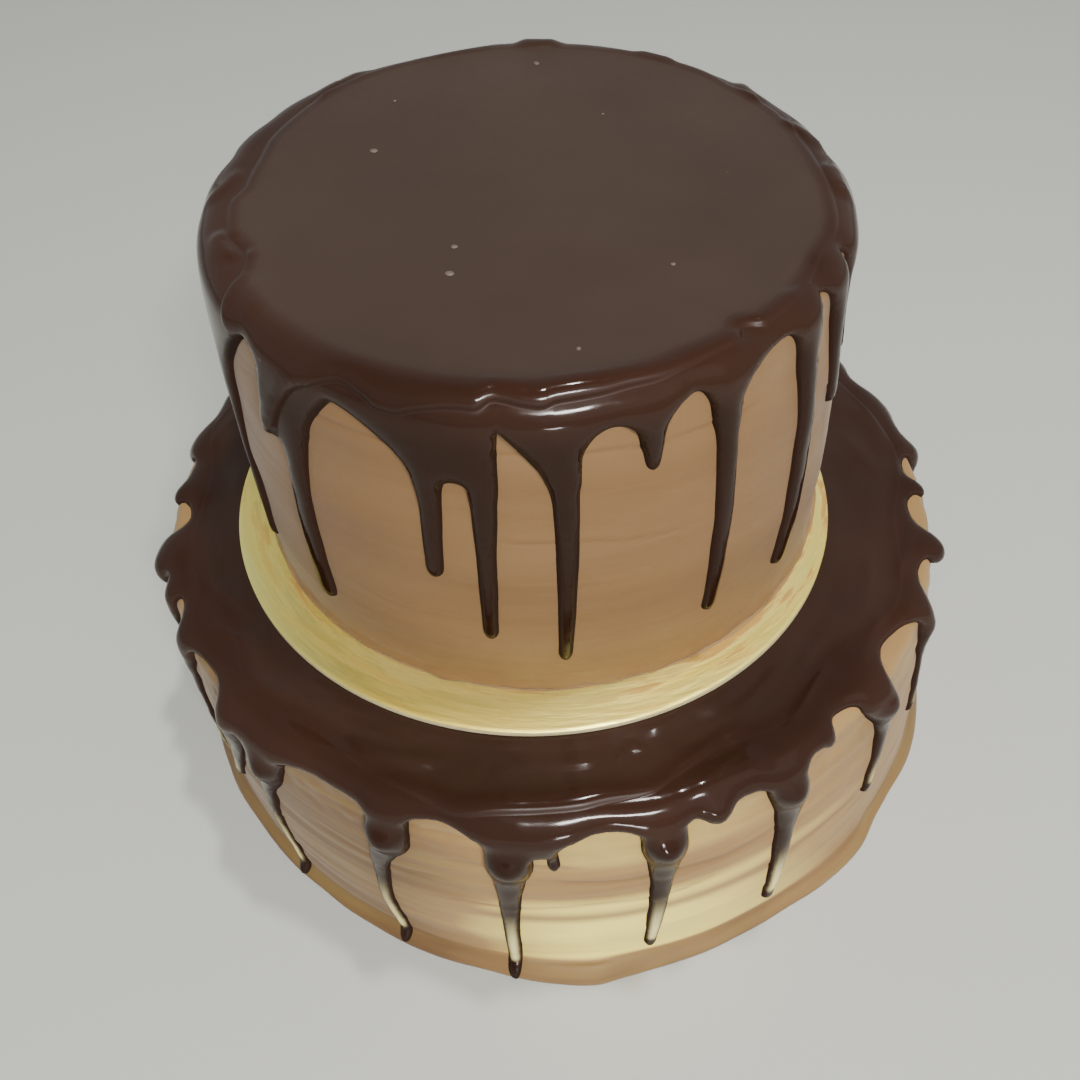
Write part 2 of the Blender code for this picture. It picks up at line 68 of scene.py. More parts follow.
# Each run of ganache is a chain of (azimuth, drop, half width), from its head at the hem to its tip.
UPPER_RUNS = (
    ((-79, 20, 3), (-78.5, 34, 2.5), (-78.3, 42, 3.2)),
    ((-66.6, 28, 4.2), (-67.6, 45, 3.3), (-66.8, 60, 3.3), (-65, 72, 3.9), (-63.8, 89, 3.2)),
    ((-45.8, 10, 2.1), (-45.2, 24, 4.4)),
    ((-41, 24, 4.6), (-41.6, 36, 3.8), (-42.2, 54, 3.7), (-41.9, 70, 3.8), (-41.2, 84, 3.6)),
    ((-15.9, 24, 3.8), (-15.8, 34, 3.2), (-16.3, 55, 2.8)),
    ((-7.3, 22, 4.2), (-7.2, 33, 3.5), (-7.5, 50, 2.9), (-8, 78, 2.5)),
    ((5.3, 22, 4.2), (5.6, 30, 3.6), (5.5, 45, 3.3), (5.1, 66, 2.8), (4.5, 88, 2.3)),
    ((19.5, 15, 2.9), (19.7, 22, 2.5)),
    ((33, 15, 4), (33.1, 23, 3.5), (33.2, 46, 3.4), (32.4, 66, 3), (31.2, 82, 2.6)),
    ((53, 17, 4.2), (53.2, 30, 3.8), (53, 50, 3.9), (51.8, 68, 3.9), (49.8, 83.5, 3.3)),
    ((66.2, 14, 4.2), (66.2, 26, 4.1), (66, 39.5, 3.8)),
    ((75.6, 14, 2.4), (75.5, 34.5, 2.2)),
)
# The hem rises to a peak between two runs: (azimuth, drop, roundness of its left flank, of its right flank).
UPPER_PEAKS = (
    (-73.2, 19, 2, 2), (-50.6, 5, 1.15, 2), (-44.2, 27.5, 2, 2), (-30.8, 8.6, 1.15, 1.5),
    (-11.9, 23.4, 2, 2), (-4.3, 7.2, 2.4, 1.05), (13.3, 7.9, 2.1, 1.6), (26.7, 4.5, 1.8, 1.5),
    (45.6, 3, 2.3, 2), (58.4, 1, 2, 1.6), (71, 0.5, 1.8, 1.8),
)
LOWER_RUNS = (
    ((-88.6, 0.5, 3.2),),
    ((-78, 3.5, 5), (-75.5, 5, 5.5)),
    ((-69.6, 7, 3.4), (-69.6, 17, 2.1)),
    ((-60.8, 7, 4), (-61.2, 25, 1.8), (-62.4, 50, 1.7), (-64, 75, 1.7)),
    ((-46.4, 6, 5.6), (-48.5, 24, 3.3), (-51.4, 40, 2.5), (-53.2, 50.5, 2.3)),
    ((-39.3, 8, 6.2), (-40.3, 19, 4.4), (-42.6, 32, 2.5), (-43.8, 55, 1.9), (-41.8, 80, 1.8)),
    ((-20.5, 5, 6.2), (-21.4, 18.5, 6.4), (-22.5, 25, 4.2), (-23.6, 33, 2.6), (-24.5, 56, 1.8),
     (-23.4, 80, 1.8)),
    ((-5.5, 10, 6.6), (-5.8, 20, 6.4), (-6.1, 26, 4.4), (-6.5, 38, 2.9), (-7.1, 56, 2.1), (-7.6, 81, 1.8)),
    ((-0.2, 12, 1.3), (-0.2, 18.8, 1.9)),
    ((13.7, 7, 6.8), (13.8, 16, 6.5), (13.6, 22, 4.6), (13, 35, 3), (12.2, 50, 2.4), (11, 71.5, 1.6)),
    ((20.4, 5.8, 4.2),),
    ((30.8, 6, 7), (31.8, 15, 6.3), (31.5, 22, 4.5), (31, 32, 3.2), (30.2, 50, 2.5), (29, 69.5, 1.9)),
    ((38.4, 3, 2.8),),
    ((48.5, 4, 7), (50.8, 14, 5.4), (51, 25, 3.2), (49.5, 40, 2.4), (48.2, 50, 2.2)),
    ((65.3, 8, 3.4), (64.6, 26, 2.3), (62.6, 44, 2.1)),
    ((77.4, 2.5, 5.2),),
    ((88.9, 0.2, 2.8),),
    ((98.5, 3, 4.5), (98, 12, 3), (97.5, 26, 2.3)),
)
LOWER_PEAKS = (
    (-83.6, -6.5, 2.2, 2.2), (-72.6, 1.5, 2, 2), (-66.6, -2, 2, 2), (-52.4, -1, 2, 1.8), (-43.6, 15, 2, 2),
    (-31, 3, 1.5, 1.5), (-13.4, 2.6, 1.6, 1.5), (-2, 12.4, 2, 2), (6.2, 3.8, 1.5, 1.6), (17.2, 4.8, 2, 2),
    (24.5, 4.6, 1.8, 1.8), (35.8, 3.6, 1.8, 1.8), (41, -2, 1.8, 2), (55.6, -5.5, 1.8, 1.8),
    (71.4, -3, 1.8, 2), (84.6, -6.5, 2.2, 2.2), (92.8, -4.5, 2, 2),
)

# Where the second pour over each tier ends: (azimuth, drop). It hangs over the edge in lobes at the front.
UPPER_LIP = (
    (-179, 1.5), (-168, -2), (-157, -3.4), (-148, -3.6), (-131, -5.6), (-120, -7.2), (-110, -8),
    (-100, -9.6), (-91, -9.4), (-84, -6.2), (-74, -6), (-67, -8.6), (-60, -4.5), (-55.5, 6), (-51, 22),
    (-47, 29.5), (-44, 27), (-42.2, 21), (-40.2, 14.5), (-37.8, 9), (-34.5, 5), (-31, 2.2), (-28, 1),
    (-24, 2.2), (-21.2, 3.5), (-18.8, 3.5), (-16.2, 2.5), (-9.5, 1.2), (-7, 1.2), (-4.5, -0.5), (0.2, 0.5),
    (2.5, 0.8), (4.8, 0), (11.5, -0.5), (16.5, -1), (19.8, -1), (24.5, -1.6), (30, -2.2), (36.5, -2.6),
    (39.5, -5.2), (43, -2.8), (50, -2.6), (56, -3.2), (66, -4.4), (74, -3.2), (84, -4.2), (95, -5.6),
    (107, -5.4), (120, -4.2), (130, -4.4), (141, -2.4), (160, -1.2),
)
LOWER_LIP = (
    (-170, -6), (-150, -3), (-128, -9), (-105, -4), (-90, -12), (-72, -8), (-58, -13), (-44, -6), (-33, -9),
    (-24, -5), (-15.5, -3), (-11.7, -1.2), (-6, -2.6), (-1.2, -3.2), (3.7, -3.6), (7.4, -4.4), (12.9, -4.8),
    (17.5, -8), (24, -11), (35, -9), (47, -14), (63, -7), (80, -12), (96, -6), (118, -9), (140, -4),
    (160, -8),
)

# How high each lip stands: (azimuth, millimetres).
UPPER_LIP_HEIGHT = (
    (-179, 1), (-150, 0.7), (-110, 0.75), (-70, 0.8), (-55, 1), (-45, 1.7), (-36, 1.5), (-20, 1.5),
    (5, 1.8), (18, 1.3), (28, 0.7), (42, 0.8), (60, 0.6), (90, 0.7), (120, 0.6), (150, 0.8),
)
LOWER_LIP_HEIGHT = (
    (-170, 0.3), (-120, 0.25), (-60, 0.2), (-24, 0.3), (-13, 0.9), (8, 0.9), (16, 0.6), (24, 0.2),
    (80, 0.25), (130, 0.3),
)

# Long low ridges in the ganache: (azimuth and radius of one end, of the other, half width, height).
UPPER_RIDGES = (
    (-126, 80.5, -146, 84.5, 1.8, 0.9), (-76, 82, -64, 81.5, 1.6, 0.9), (-98, 80.5, -84, 84.5, 1.5, 0.6),
    (84, 84.5, 98, 82.5, 1.8, 1.1), (101, 83.5, 116, 81.5, 1.5, 0.9), (122, 82, 134, 84.5, 1.8, 1),
    (172, 83.5, 184, 84.5, 2.6, 1.3), (146, 83, 158, 85, 1.8, 0.8), (50, 79, 66, 82, 3, -0.6),
    (35, 83.4, 47.5, 85.2, 1.7, -0.9), (36, 80.4, 43, 82.2, 1.3, -0.5), (33, 86.4, 50, 87, 1.4, 0.6),
    (-74, 77.2, -65, 76.8, 1.7, -0.5), (-65, 76.5, -58, 78.5, 1.6, -0.4), (-58, 79, -48, 84, 2.6, 0.5),
    (-20, 80, 10, 81, 5, -0.35), (-140, 60, -100, 66, 9, 0.25), (40, 55, 90, 62, 10, 0.3),
    (150, 52, 200, 58, 9, 0.25),
)
LOWER_RIDGES = (
    (-46, 113.5, -30, 103.5, 1.3, 0.44), (-50, 118.5, -27, 108.5, 1.4, 0.51),
    (-36, 113, -18, 111, 1.3, 0.51), (-32, 118, -12, 114, 2.6, 0.7), (-40, 123.5, -20, 119, 1.8, 0.44),
    (-22, 106.5, -2, 104.5, 1.4, 0.44), (-12, 120.5, 14, 121, 3.4, 0.75), (-8, 111, 10, 110, 2.2, 0.55),
    (9, 112, 14.5, 107.5, 0.8, 0.66), (14, 104, 28, 102.5, 1.3, 0.39), (15, 117.5, 32, 113, 1.4, 0.39),
    (21.5, 122.5, 28.5, 120, 0.8, 0.54), (16, 124.5, 30, 124, 3, 0.7), (26, 108.5, 44, 105.5, 1.5, 0.44),
    (33, 119.5, 48, 114.5, 1.4, 0.51), (40, 109, 58, 106, 1.4, 0.44), (47, 121, 62, 117, 1.8, 0.51),
    (56, 111.5, 74, 108.5, 1.5, 0.44), (66, 119, 82, 121, 1.5, 0.44), (-62, 119, -48, 112, 1.5, 0.51),
    (-68, 113, -56, 107.5, 1.4, 0.44), (-80, 121, -64, 118.5, 1.5, 0.51), (-86, 112, -70, 109, 1.5, 0.44),
)

# Where ganache stands out in a round head: (azimuth, drop, half width, half length, height).
UPPER_BULBS = (
    (-45.6, 18, 4.4, 8, 1.2), (-40.5, 20, 4, 7, 0.5), (-79, 27, 3, 6, 0.8),
)
LOWER_BULBS = (
    (-75.5, 4, 6, 4.5, 1.4), (-46.6, 6, 5.5, 4.3, 1.8), (-39.5, 13, 4.8, 4.4, 2.6),
    (-21, 13, 5.6, 4.3, 3.3), (-5.6, 15, 5.8, 4.5, 3), (-0.2, 18.8, 2, 3, 0.8), (13.8, 12, 5.8, 4.3, 3.4),
    (20.6, 4.5, 4.6, 3.8, 2), (31.4, 11, 5.6, 4.4, 2.8), (50.2, 9, 5.2, 4.4, 2.2), (65, 8, 3.6, 4.3, 1.4),
    (77.4, 2.5, 4.6, 4, 1.4), (98.4, 6, 4, 4.3, 1.4),
)

# Faint marks of the scraper in the cream: (azimuth, height) along each, then its depth and half width.
UPPER_MARKS = (
    (((-60, 172.5), (-40, 177.5), (-20, 178.4), (0, 178.6), (20, 177), (42, 176)), 0.3, 0.55),
    (((-8, 152), (4, 151), (14, 149), (27, 146)), 0.26, 0.6),
    (((-36, 121), (-20, 118.5), (-8, 119)), 0.16, 0.9),
    (((58, 158), (80, 155), (104, 157.5), (130, 154)), 0.26, 0.6),
    (((118, 131), (150, 128), (176, 130)), 0.24, 0.7),
    (((-172, 163), (-140, 166), (-112, 161.5), (-92, 163)), 0.28, 0.6),
    (((-128, 124), (-104, 127), (-84, 125)), 0.22, 0.8),
)
LOWER_MARKS = (
    (((-19, 38.5), (-8, 40), (4, 41.5), (16, 41), (22, 43)), 0.4, 0.7),
    (((-36, 52), (-22, 49), (-12, 51.5)), 0.3, 1),
    (((-4, 57), (8, 53.5), (22, 52), (34, 54)), 0.34, 1.1),
    (((-16, 62), (-4, 64), (5, 62.5)), 0.26, 1),
    (((24, 33), (40, 35), (52, 33)), 0.3, 0.8),
    (((-58, 30), (-44, 33), (-30, 31)), 0.3, 0.8),
    (((60, 47), (84, 44), (108, 48), (128, 45.5)), 0.36, 0.9),
    (((96, 62), (124, 58.5), (150, 61)), 0.3, 1),
    (((140, 35), (168, 38), (196, 35.5)), 0.38, 0.8),
    (((188, 55), (214, 58.5), (244, 55), (266, 57)), 0.34, 1),
    (((236, 34), (262, 31), (290, 34.5)), 0.34, 0.8),
)
# How far the foot of the lower tier stands out of its round, all round: (azimuth, millimetres).
LOWER_FOOT = (
    (-170, 0.8), (-150, -0.9), (-128, 0.9), (-104, -0.6), (-84, 1), (-65, 1.2), (-50, -0.4), (-32, -0.7),
    (-17, 0.2), (-8, 1.2), (-2, 2.4), (3, 3), (7, 1.6), (11, 0.6), (29, -0.5), (47, 0.7), (54, -1.3),
    (70, 0.6), (92, -0.8), (114, 0.9), (136, -0.6), (160, 0.3),
)
# Small pale bubbles on the upper pour: (azimuth, distance from the middle, radius).
BUBBLES = (
    (-113, 47, 1.3), (-31.5, 34.5, 1), (-24.4, 45, 1.3), (178, 71, 1.1), (44, 53, 0.8), (10, 72, 0.7),
    (95, 55, 0.6), (150, 44, 0.5), (-140, 62, 0.6),
)


# ------------ curves and noise


def smooth(t):
    """From 0 to 1 without a corner, as t goes from 0 to 1."""
    t = np.clip(t, 0.0, 1.0)
    return t * t * (3 - 2 * t)


def bell(x, width):
    return np.exp(-((x / width) ** 2))


def wrapped(value, middle=0.0, around=360):
    """The same places on a round, within half a turn of the middle."""
    return (value - middle + around / 2) % around - around / 2 + middle


def turns(count):
    """Evenly spread azimuths, in radians."""
    return np.arange(count) * math.tau / count


def blank(*grids):
    return np.zeros(np.broadcast(*grids).shape)


def round_interp(azimuth, rows):
    """A smooth closed curve through (azimuth, value) rows, read at azimuths in degrees."""
    at, value = np.array(sorted(rows), float).T
    at = np.concatenate([at[-2:] - 360, at, at[:2] + 360])
    value = np.concatenate([value[-2:], value, value[:2]])
    slopes = np.diff(value) / np.diff(at)
    left, right = slopes[:-1], slopes[1:]
    slope = np.where(left * right > 0, 2 * left * right / (left + right + 1e-12), 0.0)
    slope = np.concatenate([[0], slope, [0]])
    a = wrapped(np.asarray(azimuth, float))
    i = np.clip(np.searchsorted(at, a, side="right") - 1, 1, len(at) - 3)
    h = at[i + 1] - at[i]
    t = (a - at[i]) / h
    before = value[i] * (1 + 2 * t) * (1 - t) ** 2 + slope[i] * h * t * (1 - t) ** 2
    return before + value[i + 1] * t**2 * (3 - 2 * t) + slope[i + 1] * h * t**2 * (t - 1)


def uneven(azimuth, z, seed, count, height, shortest, longest):
    """Long, nearly level waves, as a scraper leaves them; azimuth in radians, the rest in mm."""
    rng = np.random.default_rng(seed)
    total, power = blank(azimuth, z), 0.0
    for _ in range(count):
        wavelength = shortest * (longest / shortest) ** rng.random()
        amplitude = wavelength**0.7
        spiral, sway = rng.integers(-4, 5), rng.integers(2, 7)
        phase = rng.uniform(0, math.tau, 2)
        bend = 1.2 * np.sin(sway * azimuth + phase[1])
        total += amplitude * np.cos(math.tau * z / wavelength + spiral * azimuth + phase[0] + bend)
        power += amplitude**2 / 2
    return height * total / math.sqrt(power)


def lumps(azimuth, z, seed, count, height, size, radius):
    """Blotchy unevenness with no direction, about the given size in mm."""
    rng = np.random.default_rng(seed)
    total = blank(azimuth, z)
    for _ in range(count):
        angle = rng.uniform(0, math.tau)
        wavelength = size * rng.uniform(0.7, 1.6)
        spiral = round(math.tau * radius * math.cos(angle) / wavelength)
        climb = math.tau * math.sin(angle) / wavelength
        total += np.cos(spiral * azimuth + climb * z + rng.uniform(0, math.tau))
    return height * total / math.sqrt(count / 2)


def marks(azimuth, z, rows):
    """The depth of the scraper's marks, at azimuths in degrees; each has a low bank beside it."""
    total = blank(azimuth, z)
    for path, depth, half in rows:
        at, heights = np.array(path, float).T
        a = wrapped(azimuth, (at[0] + at[-1]) / 2)
        away = z - np.interp(a, at, heights) - 0.35 * np.sin(np.radians(a) * 23 + at[0])
        ends = smooth((a - at[0]) / 6) * smooth((at[-1] - a) / 6)
        total += depth * ends * (bell(away, half) - 0.45 * bell(away - 1.9 * half, 1.3 * half))
    return total


def ridges(azimuth, radius, rows):
    """Soft ridges and grooves on a tier's top, at azimuths in degrees."""
    total = blank(azimuth, radius)
    for row in rows:
        (a0, r0), (a1, r1) = sorted((row[:2], row[2:4]))
        half, height = row[4:]
        t = (wrapped(azimuth, (a0 + a1) / 2) - a0) / (a1 - a0)
        line = r0 + (r1 - r0) * smooth(t) + 0.6 * np.sin(t * 5.0 + a0)
        total += height * smooth(t / 0.3) * smooth((1 - t) / 0.3) * bell(radius - line, half)
    return total


def bulbs(degrees, drop, radius, rows):
    """How far the round heads stand out from the side; their lower half is longer by half."""
    total = blank(degrees, drop)
    for azimuth, low, wide, long, height in rows:
        across = np.radians(wrapped(degrees - azimuth)) * radius
        down = drop - low
        total += height * bell(across, wide) * bell(down, np.where(down > 0, 1.5 * long, long))
    return total


def back_of(runs, peaks, seed, lengths, widths, spacing, rise):
    """The given runs and peaks, with more of them to carry the hem round the side that isn't seen."""
    rng = np.random.default_rng(seed)
    runs, peaks = list(runs), list(peaks)
    at, end = runs[-1][0][0], runs[0][0][0] + 360
    count = max(1, round((end - at) / spacing))
    steps = rng.uniform(0.75, 1.25, count)
    steps *= (end - at) / steps.sum()
    for index, step in enumerate(steps):
        peaks.append((at + step * rng.uniform(0.42, 0.58), rng.uniform(*rise), *rng.uniform(1.5, 2.2, 2)))
        at += step
        if index == count - 1:
            break
        length = rng.uniform(*lengths) if rng.random() < 0.72 else rng.uniform(14, lengths[0])
        wide = rng.uniform(*widths)
        head = rng.uniform(12, 20)
        sway = rng.uniform(-1.5, 1.5)
        row = [(at, head, wide * 1.5), (at + 0.3 * sway, head + 0.3 * (length - head), wide)]
        if length > 40:
            row.append((at + 0.7 * sway, head + 0.65 * (length - head), wide * 0.8))
        row.append((at + sway, max(length, head + 8), wide * 0.75))
        runs.append(row)
    return runs, peaks


# ------------ the tiers' surfaces


def ring(centre, radius, azimuth, z):
    """Places at a radius from a centre and at a height; an azimuth of 0 is in front."""
    x, y = centre[0] + radius * np.sin(azimuth), centre[1] - radius * np.cos(azimuth)
    return np.stack(np.broadcast_arrays(x, y, z), -1)


class Surface:
    """A tier's outer skin, addressed by azimuth (radians) and arc length from the middle of the top."""

    def __init__(self, tier):
        self.tier = tier
        self.corner = tier["corner"]
        self.corner_z = tier["z1"] - self.corner
        self.edge = float(self.side(self.corner_z))
        self.flat = self.edge - self.corner
        self.arc = self.corner * math.pi / 2
        self.length = self.flat + self.arc + self.corner_z - tier["z0"]

    def side(self, z):
        """The radius at a height: the side bellies out, and a ridge of cream is squeezed out at the foot."""
        t = self.tier
        up = np.clip((z - t["mid_z"]) / (t["z1"] - t["mid_z"]), 0, 1)
        down = np.clip((t["mid_z"] - z) / (t["mid_z"] - t["z0"]), 0, 1)
        squeezed = smooth(1.1 - (z - t["z0"]) / t["ridge_height"]) ** 1.5
        return t["radius"] - t["top_in"] * up**2 - t["foot_in"] * down**2 + t["ridge"] * squeezed

    def profile(self, s):
        """The radius and height at an arc length."""
        turn = np.clip((s - self.flat) / self.corner, 0, math.pi / 2)
        z_side = self.corner_z - np.maximum(0, s - self.flat - self.arc)
        on_side = s > self.flat + self.arc
        r = np.where(on_side, self.side(z_side), np.minimum(s, self.flat) + self.corner * np.sin(turn))
        return r, np.where(on_side, z_side, self.corner_z + self.corner * np.cos(turn))

    def at_drop(self, drop):
        """The arc length at a drop: the rounded edge is a little longer than its own width and height."""
        bend = np.clip((drop + self.corner) / (2 * self.corner), 0, 1)
        beyond = np.minimum(drop + self.corner, 0) + np.maximum(drop - self.corner, 0)
        return self.flat + beyond + self.arc * bend

    def points(self, azimuth, s, off=0.0, relief=None):
        """Places on the skin, or off it by a height along its normal."""
        azimuth, s = np.asarray(azimuth, float), np.asarray(s, float)
        r, z = self.profile(s)
        r1, z1 = self.profile(np.maximum(s - 0.05, 0))
        r2, z2 = self.profile(s + 0.05)
        out, up = z1 - z2, r2 - r1
        size = np.hypot(out, up)
        if relief:
            off = off + relief(azimuth, z) * smooth((s - self.flat) / self.arc)
        wave = sum(a * np.cos(n * azimuth + math.radians(p)) for n, a, p in self.tier["waves"])
        r = r + wave * np.minimum(r / self.edge, 1) ** 2 + off * out / size
        z = z + off * up / size
        lean = (z - self.tier["z0"]) / (self.tier["z1"] - self.tier["z0"])
        return ring([a + lean * (b - a) for a, b in zip(self.tier["foot"], self.tier["top"])], r, azimuth, z)


def lower_relief(azimuth, z, share=1.0):
    """The lower cream's waves and marks, and its ragged foot, outwards; share weakens all but the foot."""
    degrees = np.degrees(azimuth)
    waves = uneven(azimuth, z, seed=21, count=14, height=0.13, shortest=5, longest=26)
    rough = lumps(azimuth, z, seed=22, count=14, height=0.10, size=7, radius=131)
    foot = lumps(azimuth, z, seed=23, count=12, height=0.16, size=26, radius=131)
    foot += round_interp(degrees, LOWER_FOOT)
    skin = waves * smooth((z - 9) / 6) - marks(degrees, z, LOWER_MARKS) + rough * smooth((z - 58) / 10)
    return share * skin + smooth((9.5 - z) / 6) * foot


def upper_relief(azimuth, z, share=1.0):
    """The upper cream's faint waves and marks, outwards; share weakens all but the foot."""
    waves = uneven(azimuth, z, seed=31, count=12, height=0.11, shortest=9, longest=40)
    foot = lumps(azimuth, z, seed=32, count=12, height=0.25, size=14, radius=91)
    return share * (waves - marks(np.degrees(azimuth), z, UPPER_MARKS)) + smooth((97 - z) / 6) * foot


# ------------ the ganache's outline


GRID = 0.45  # the step of the grids over azimuth and drop
FIELD_DROPS = (-14.0, 100.0)  # the drops between which the ganache's extent is worked out
LIP_DROPS = (-28.0, 44.0)  # the drops between which a lip can lie
REACH = 12.0  # how far from its lip the second pour still changes shape
RUN_REACH = 24.0  # how far beside its head a run can lie
STEEPEST = 30.0  # the blend's exponents stay within this
BLEND_GAIN = 0.35  # what the blend adds to each width, taken off again
EVENED = 1.8  # how far along a run its widths are evened out


def hem_drop(azimuth, runs, peaks, radius):
    """How far down the plain hem hangs at each azimuth (degrees), between and inside the runs' heads."""
    degree = radius * math.pi / 180
    spans = sorted((a - wide / degree, a + wide / degree, low) for (a, low, wide), *_ in runs)
    start = spans[0][0]
    tops = [(a + turn, *rest) for a, *rest in peaks for turn in (0, 360, -360)]
    azimuth = (azimuth - start) % 360 + start
    drop = np.zeros_like(azimuth)
    for (left, right, low), (after, _, next_low) in zip(spans, [*spans[1:], (start + 360, 0, spans[0][2])]):
        drop[(azimuth >= left) & (azimuth <= right)] = low
        top, peak, *flanks = next(row for row in tops if right <= row[0] <= after)
        for end, head, rounded in zip((right, after), (low, next_low), flanks):
            t = (azimuth - top) / (end - top)
            here = (t >= 0) & (t < 1)
            drop[here] = peak + (head - peak) * (1 - (1 - t[here] ** rounded) ** (1 / rounded))
    return drop


class Flow:
    """The ganache's extent: a grid over azimuth and drop, positive inside.

    Two more grids say how far along its run a place is, 0 at a head and 1 at a tip, and how far across it,
    0 at an edge and 1 in the middle.
    """

    def __init__(self, surface, runs, peaks, fuller):
        self.surface = surface
        self.around = math.tau * surface.edge
        self.count = int(self.around / GRID)
        self.xs = np.arange(self.count) * self.around / self.count
        self.drops = np.arange(*FIELD_DROPS, GRID)
        hem = hem_drop(np.degrees(self.xs / surface.edge), runs, peaks, surface.edge)
        slope = np.abs(np.roll(hem, -1) - np.roll(hem, 1)) / (2 * self.around / self.count)
        field = (hem[:, None] - self.drops[None, :]) / np.sqrt(1 + np.minimum(slope, 3) ** 2)[:, None]
        total = np.exp(np.clip(field, -STEEPEST, STEEPEST))
        self.along, self.across = np.zeros(field.shape), np.zeros(field.shape)
        for row in runs:
            chain = [(math.radians(a) * surface.edge, d, w) for a, d, w in row]
            middle, head, wide = chain[0]
            if len(chain) == 1:
                chain.append((middle + 0.01, head + 0.01, wide))
            x = wrapped(self.xs, middle, self.around)
            near = np.abs(x - middle) < RUN_REACH
            px, py = x[near][:, None], self.drops[None, :]
            best = np.full((near.sum(), len(self.drops)), -40.0)
            along, across = np.zeros(best.shape), np.zeros(best.shape)
            for (x0, y0, w0), (x1, y1, w1) in zip(chain, chain[1:]):
                dx, dy = x1 - x0, y1 - y0
                t = np.clip(((px - x0) * dx + (py - y0) * dy) / (dx**2 + dy**2), 0, 1)
                low = y0 + t * dy
                away = np.hypot(px - x0 - t * dx, py - low)
                width = w0 + (w1 - w0) * smooth(t) + fuller * smooth((low - head) / 9)
                better = width - away > best
                along = np.where(better, (low - head) / max(chain[-1][1] - head, 8.0), along)
                across = np.where(better, 1 - away / width, across)
                best = np.maximum(best, width - away)
            total[near] += np.exp(np.clip(best, -STEEPEST, STEEPEST))
            taken = best > -0.8
            self.along[near] = np.where(taken, along, self.along[near])
            self.across[near] = np.where(taken, np.maximum(across, 0), self.across[near])
        field = np.log(total) - BLEND_GAIN
        # What hangs runs smooth: its widths are averaged over this many steps of the grid to each side.
        side = 10
        offsets = np.arange(-side, side + 1)
        weights = bell(offsets * GRID, EVENED * math.sqrt(2))
        padded = np.pad(field, ((0, 0), (side, side)), "edge")
        parts = [w * padded[:, side + k :][:, : len(self.drops)] for k, w in zip(offsets, weights)]
        self.field = np.sum(parts, axis=0) / weights.sum()

    def past_lip(self, lip):
        """A grid of the distance to the second pour's lip, above 0 inside it and never over REACH."""
        fine = 0.15
        count, reach = round(self.around / fine), round(REACH / fine)
        line = round_interp(np.degrees(turns(count)), lip)
        offsets = np.arange(-reach, reach + 1)
        sideways = (offsets * fine) ** 2
        drops = np.arange(*LIP_DROPS, GRID)
        past = []
        for x in self.xs:
            middle = round(x / self.around * count)
            apart = drops[:, None] - line[(middle + offsets) % count]
            away = np.sqrt((apart**2 + sideways).min(axis=1))
            past.append(np.minimum(away, REACH) * np.where(line[middle % count] > drops, 1, -1))
        return np.array(past)

    def read(self, grid, azimuth, drop, first=FIELD_DROPS[0]):
        """A grid's value at azimuths (radians) and drops; its rows begin at the drop called first."""
        fx = (azimuth * self.surface.edge % self.around) / self.around * self.count
        fy = np.clip((drop - first) / GRID, 0, grid.shape[1] - 1.001)
        i, j = fx.astype(int) % self.count, fy.astype(int)
        k = (i + 1) % self.count
        u, v = fx - np.floor(fx), fy - j
        above = grid[i, j] * (1 - u) + grid[k, j] * u
        return above * (1 - v) + (grid[i, j + 1] * (1 - u) + grid[k, j + 1] * u) * v

    def contours(self, level):
        """The closed lines where the field has this level, longest first, as (x, drop) points in order."""
        field = self.field - level
        inside = field > 0
        beside = np.roll(inside, -1, axis=0)
        corners = [inside[:, :-1], inside[:, 1:], beside[:, :-1], beside[:, 1:]]
        links, places = {}, {}
        for i, j in zip(*(at.tolist() for at in np.nonzero(np.ptp(np.array(corners, int), axis=0)))):
            ends = []
            # A square's four edges: where each begins, and whether it runs along x or down.
            for x, y, dx, dy in ((i, j, 1, 0), (i + 1, j, 0, 1), (i, j + 1, 1, 0), (i, j, 0, 1)):
                key = (x % self.count, y, dx)
                a, b = field[key[:2]], field[(x + dx) % self.count, y + dy]
                if (a > 0) != (b > 0):
                    t = a / (a - b)
                    place = ((x + dx * t) * self.around / self.count, self.drops[0] + (y + dy * t) * GRID)
                    places.setdefault(key, place)
                    ends.append(key)
            pairs = ((0, 3), (1, 2)) if len(ends) == 4 and inside[i, j] else ((0, 1), (2, 3))
            for a, b in pairs[: len(ends) // 2]:
                links.setdefault(ends[a], []).append(ends[b])
                links.setdefault(ends[b], []).append(ends[a])
        loops, seen = [], set()
        for first in links:
            loop, following = [], [] if first in seen else [first]
            while following:
                seen.add(following[0])
                loop.append(places[following[0]])
                following = [key for key in links[following[0]] if key not in seen]
            loops.append(np.array(loop))
        return sorted(loops, key=len, reverse=True)


def evenly(line, around, spacing):
    """Points along a closed (x, drop) line, a set distance apart, as a row of x and a row of drops."""
    x = np.unwrap(line[:, 0], period=around)
    x = np.append(x, x[0] + round((x[-1] - x[0]) / around) * around)
    drop = np.append(line[:, 1], line[0, 1])
    run = np.concatenate([[0], np.cumsum(np.hypot(np.diff(x), np.diff(drop)))])
    count = max(4, round(run[-1] / spacing))
    at = np.arange(count) * run[-1] / count
    return np.stack([np.interp(at, run, x), np.interp(at, run, drop)])


# ------------ meshes


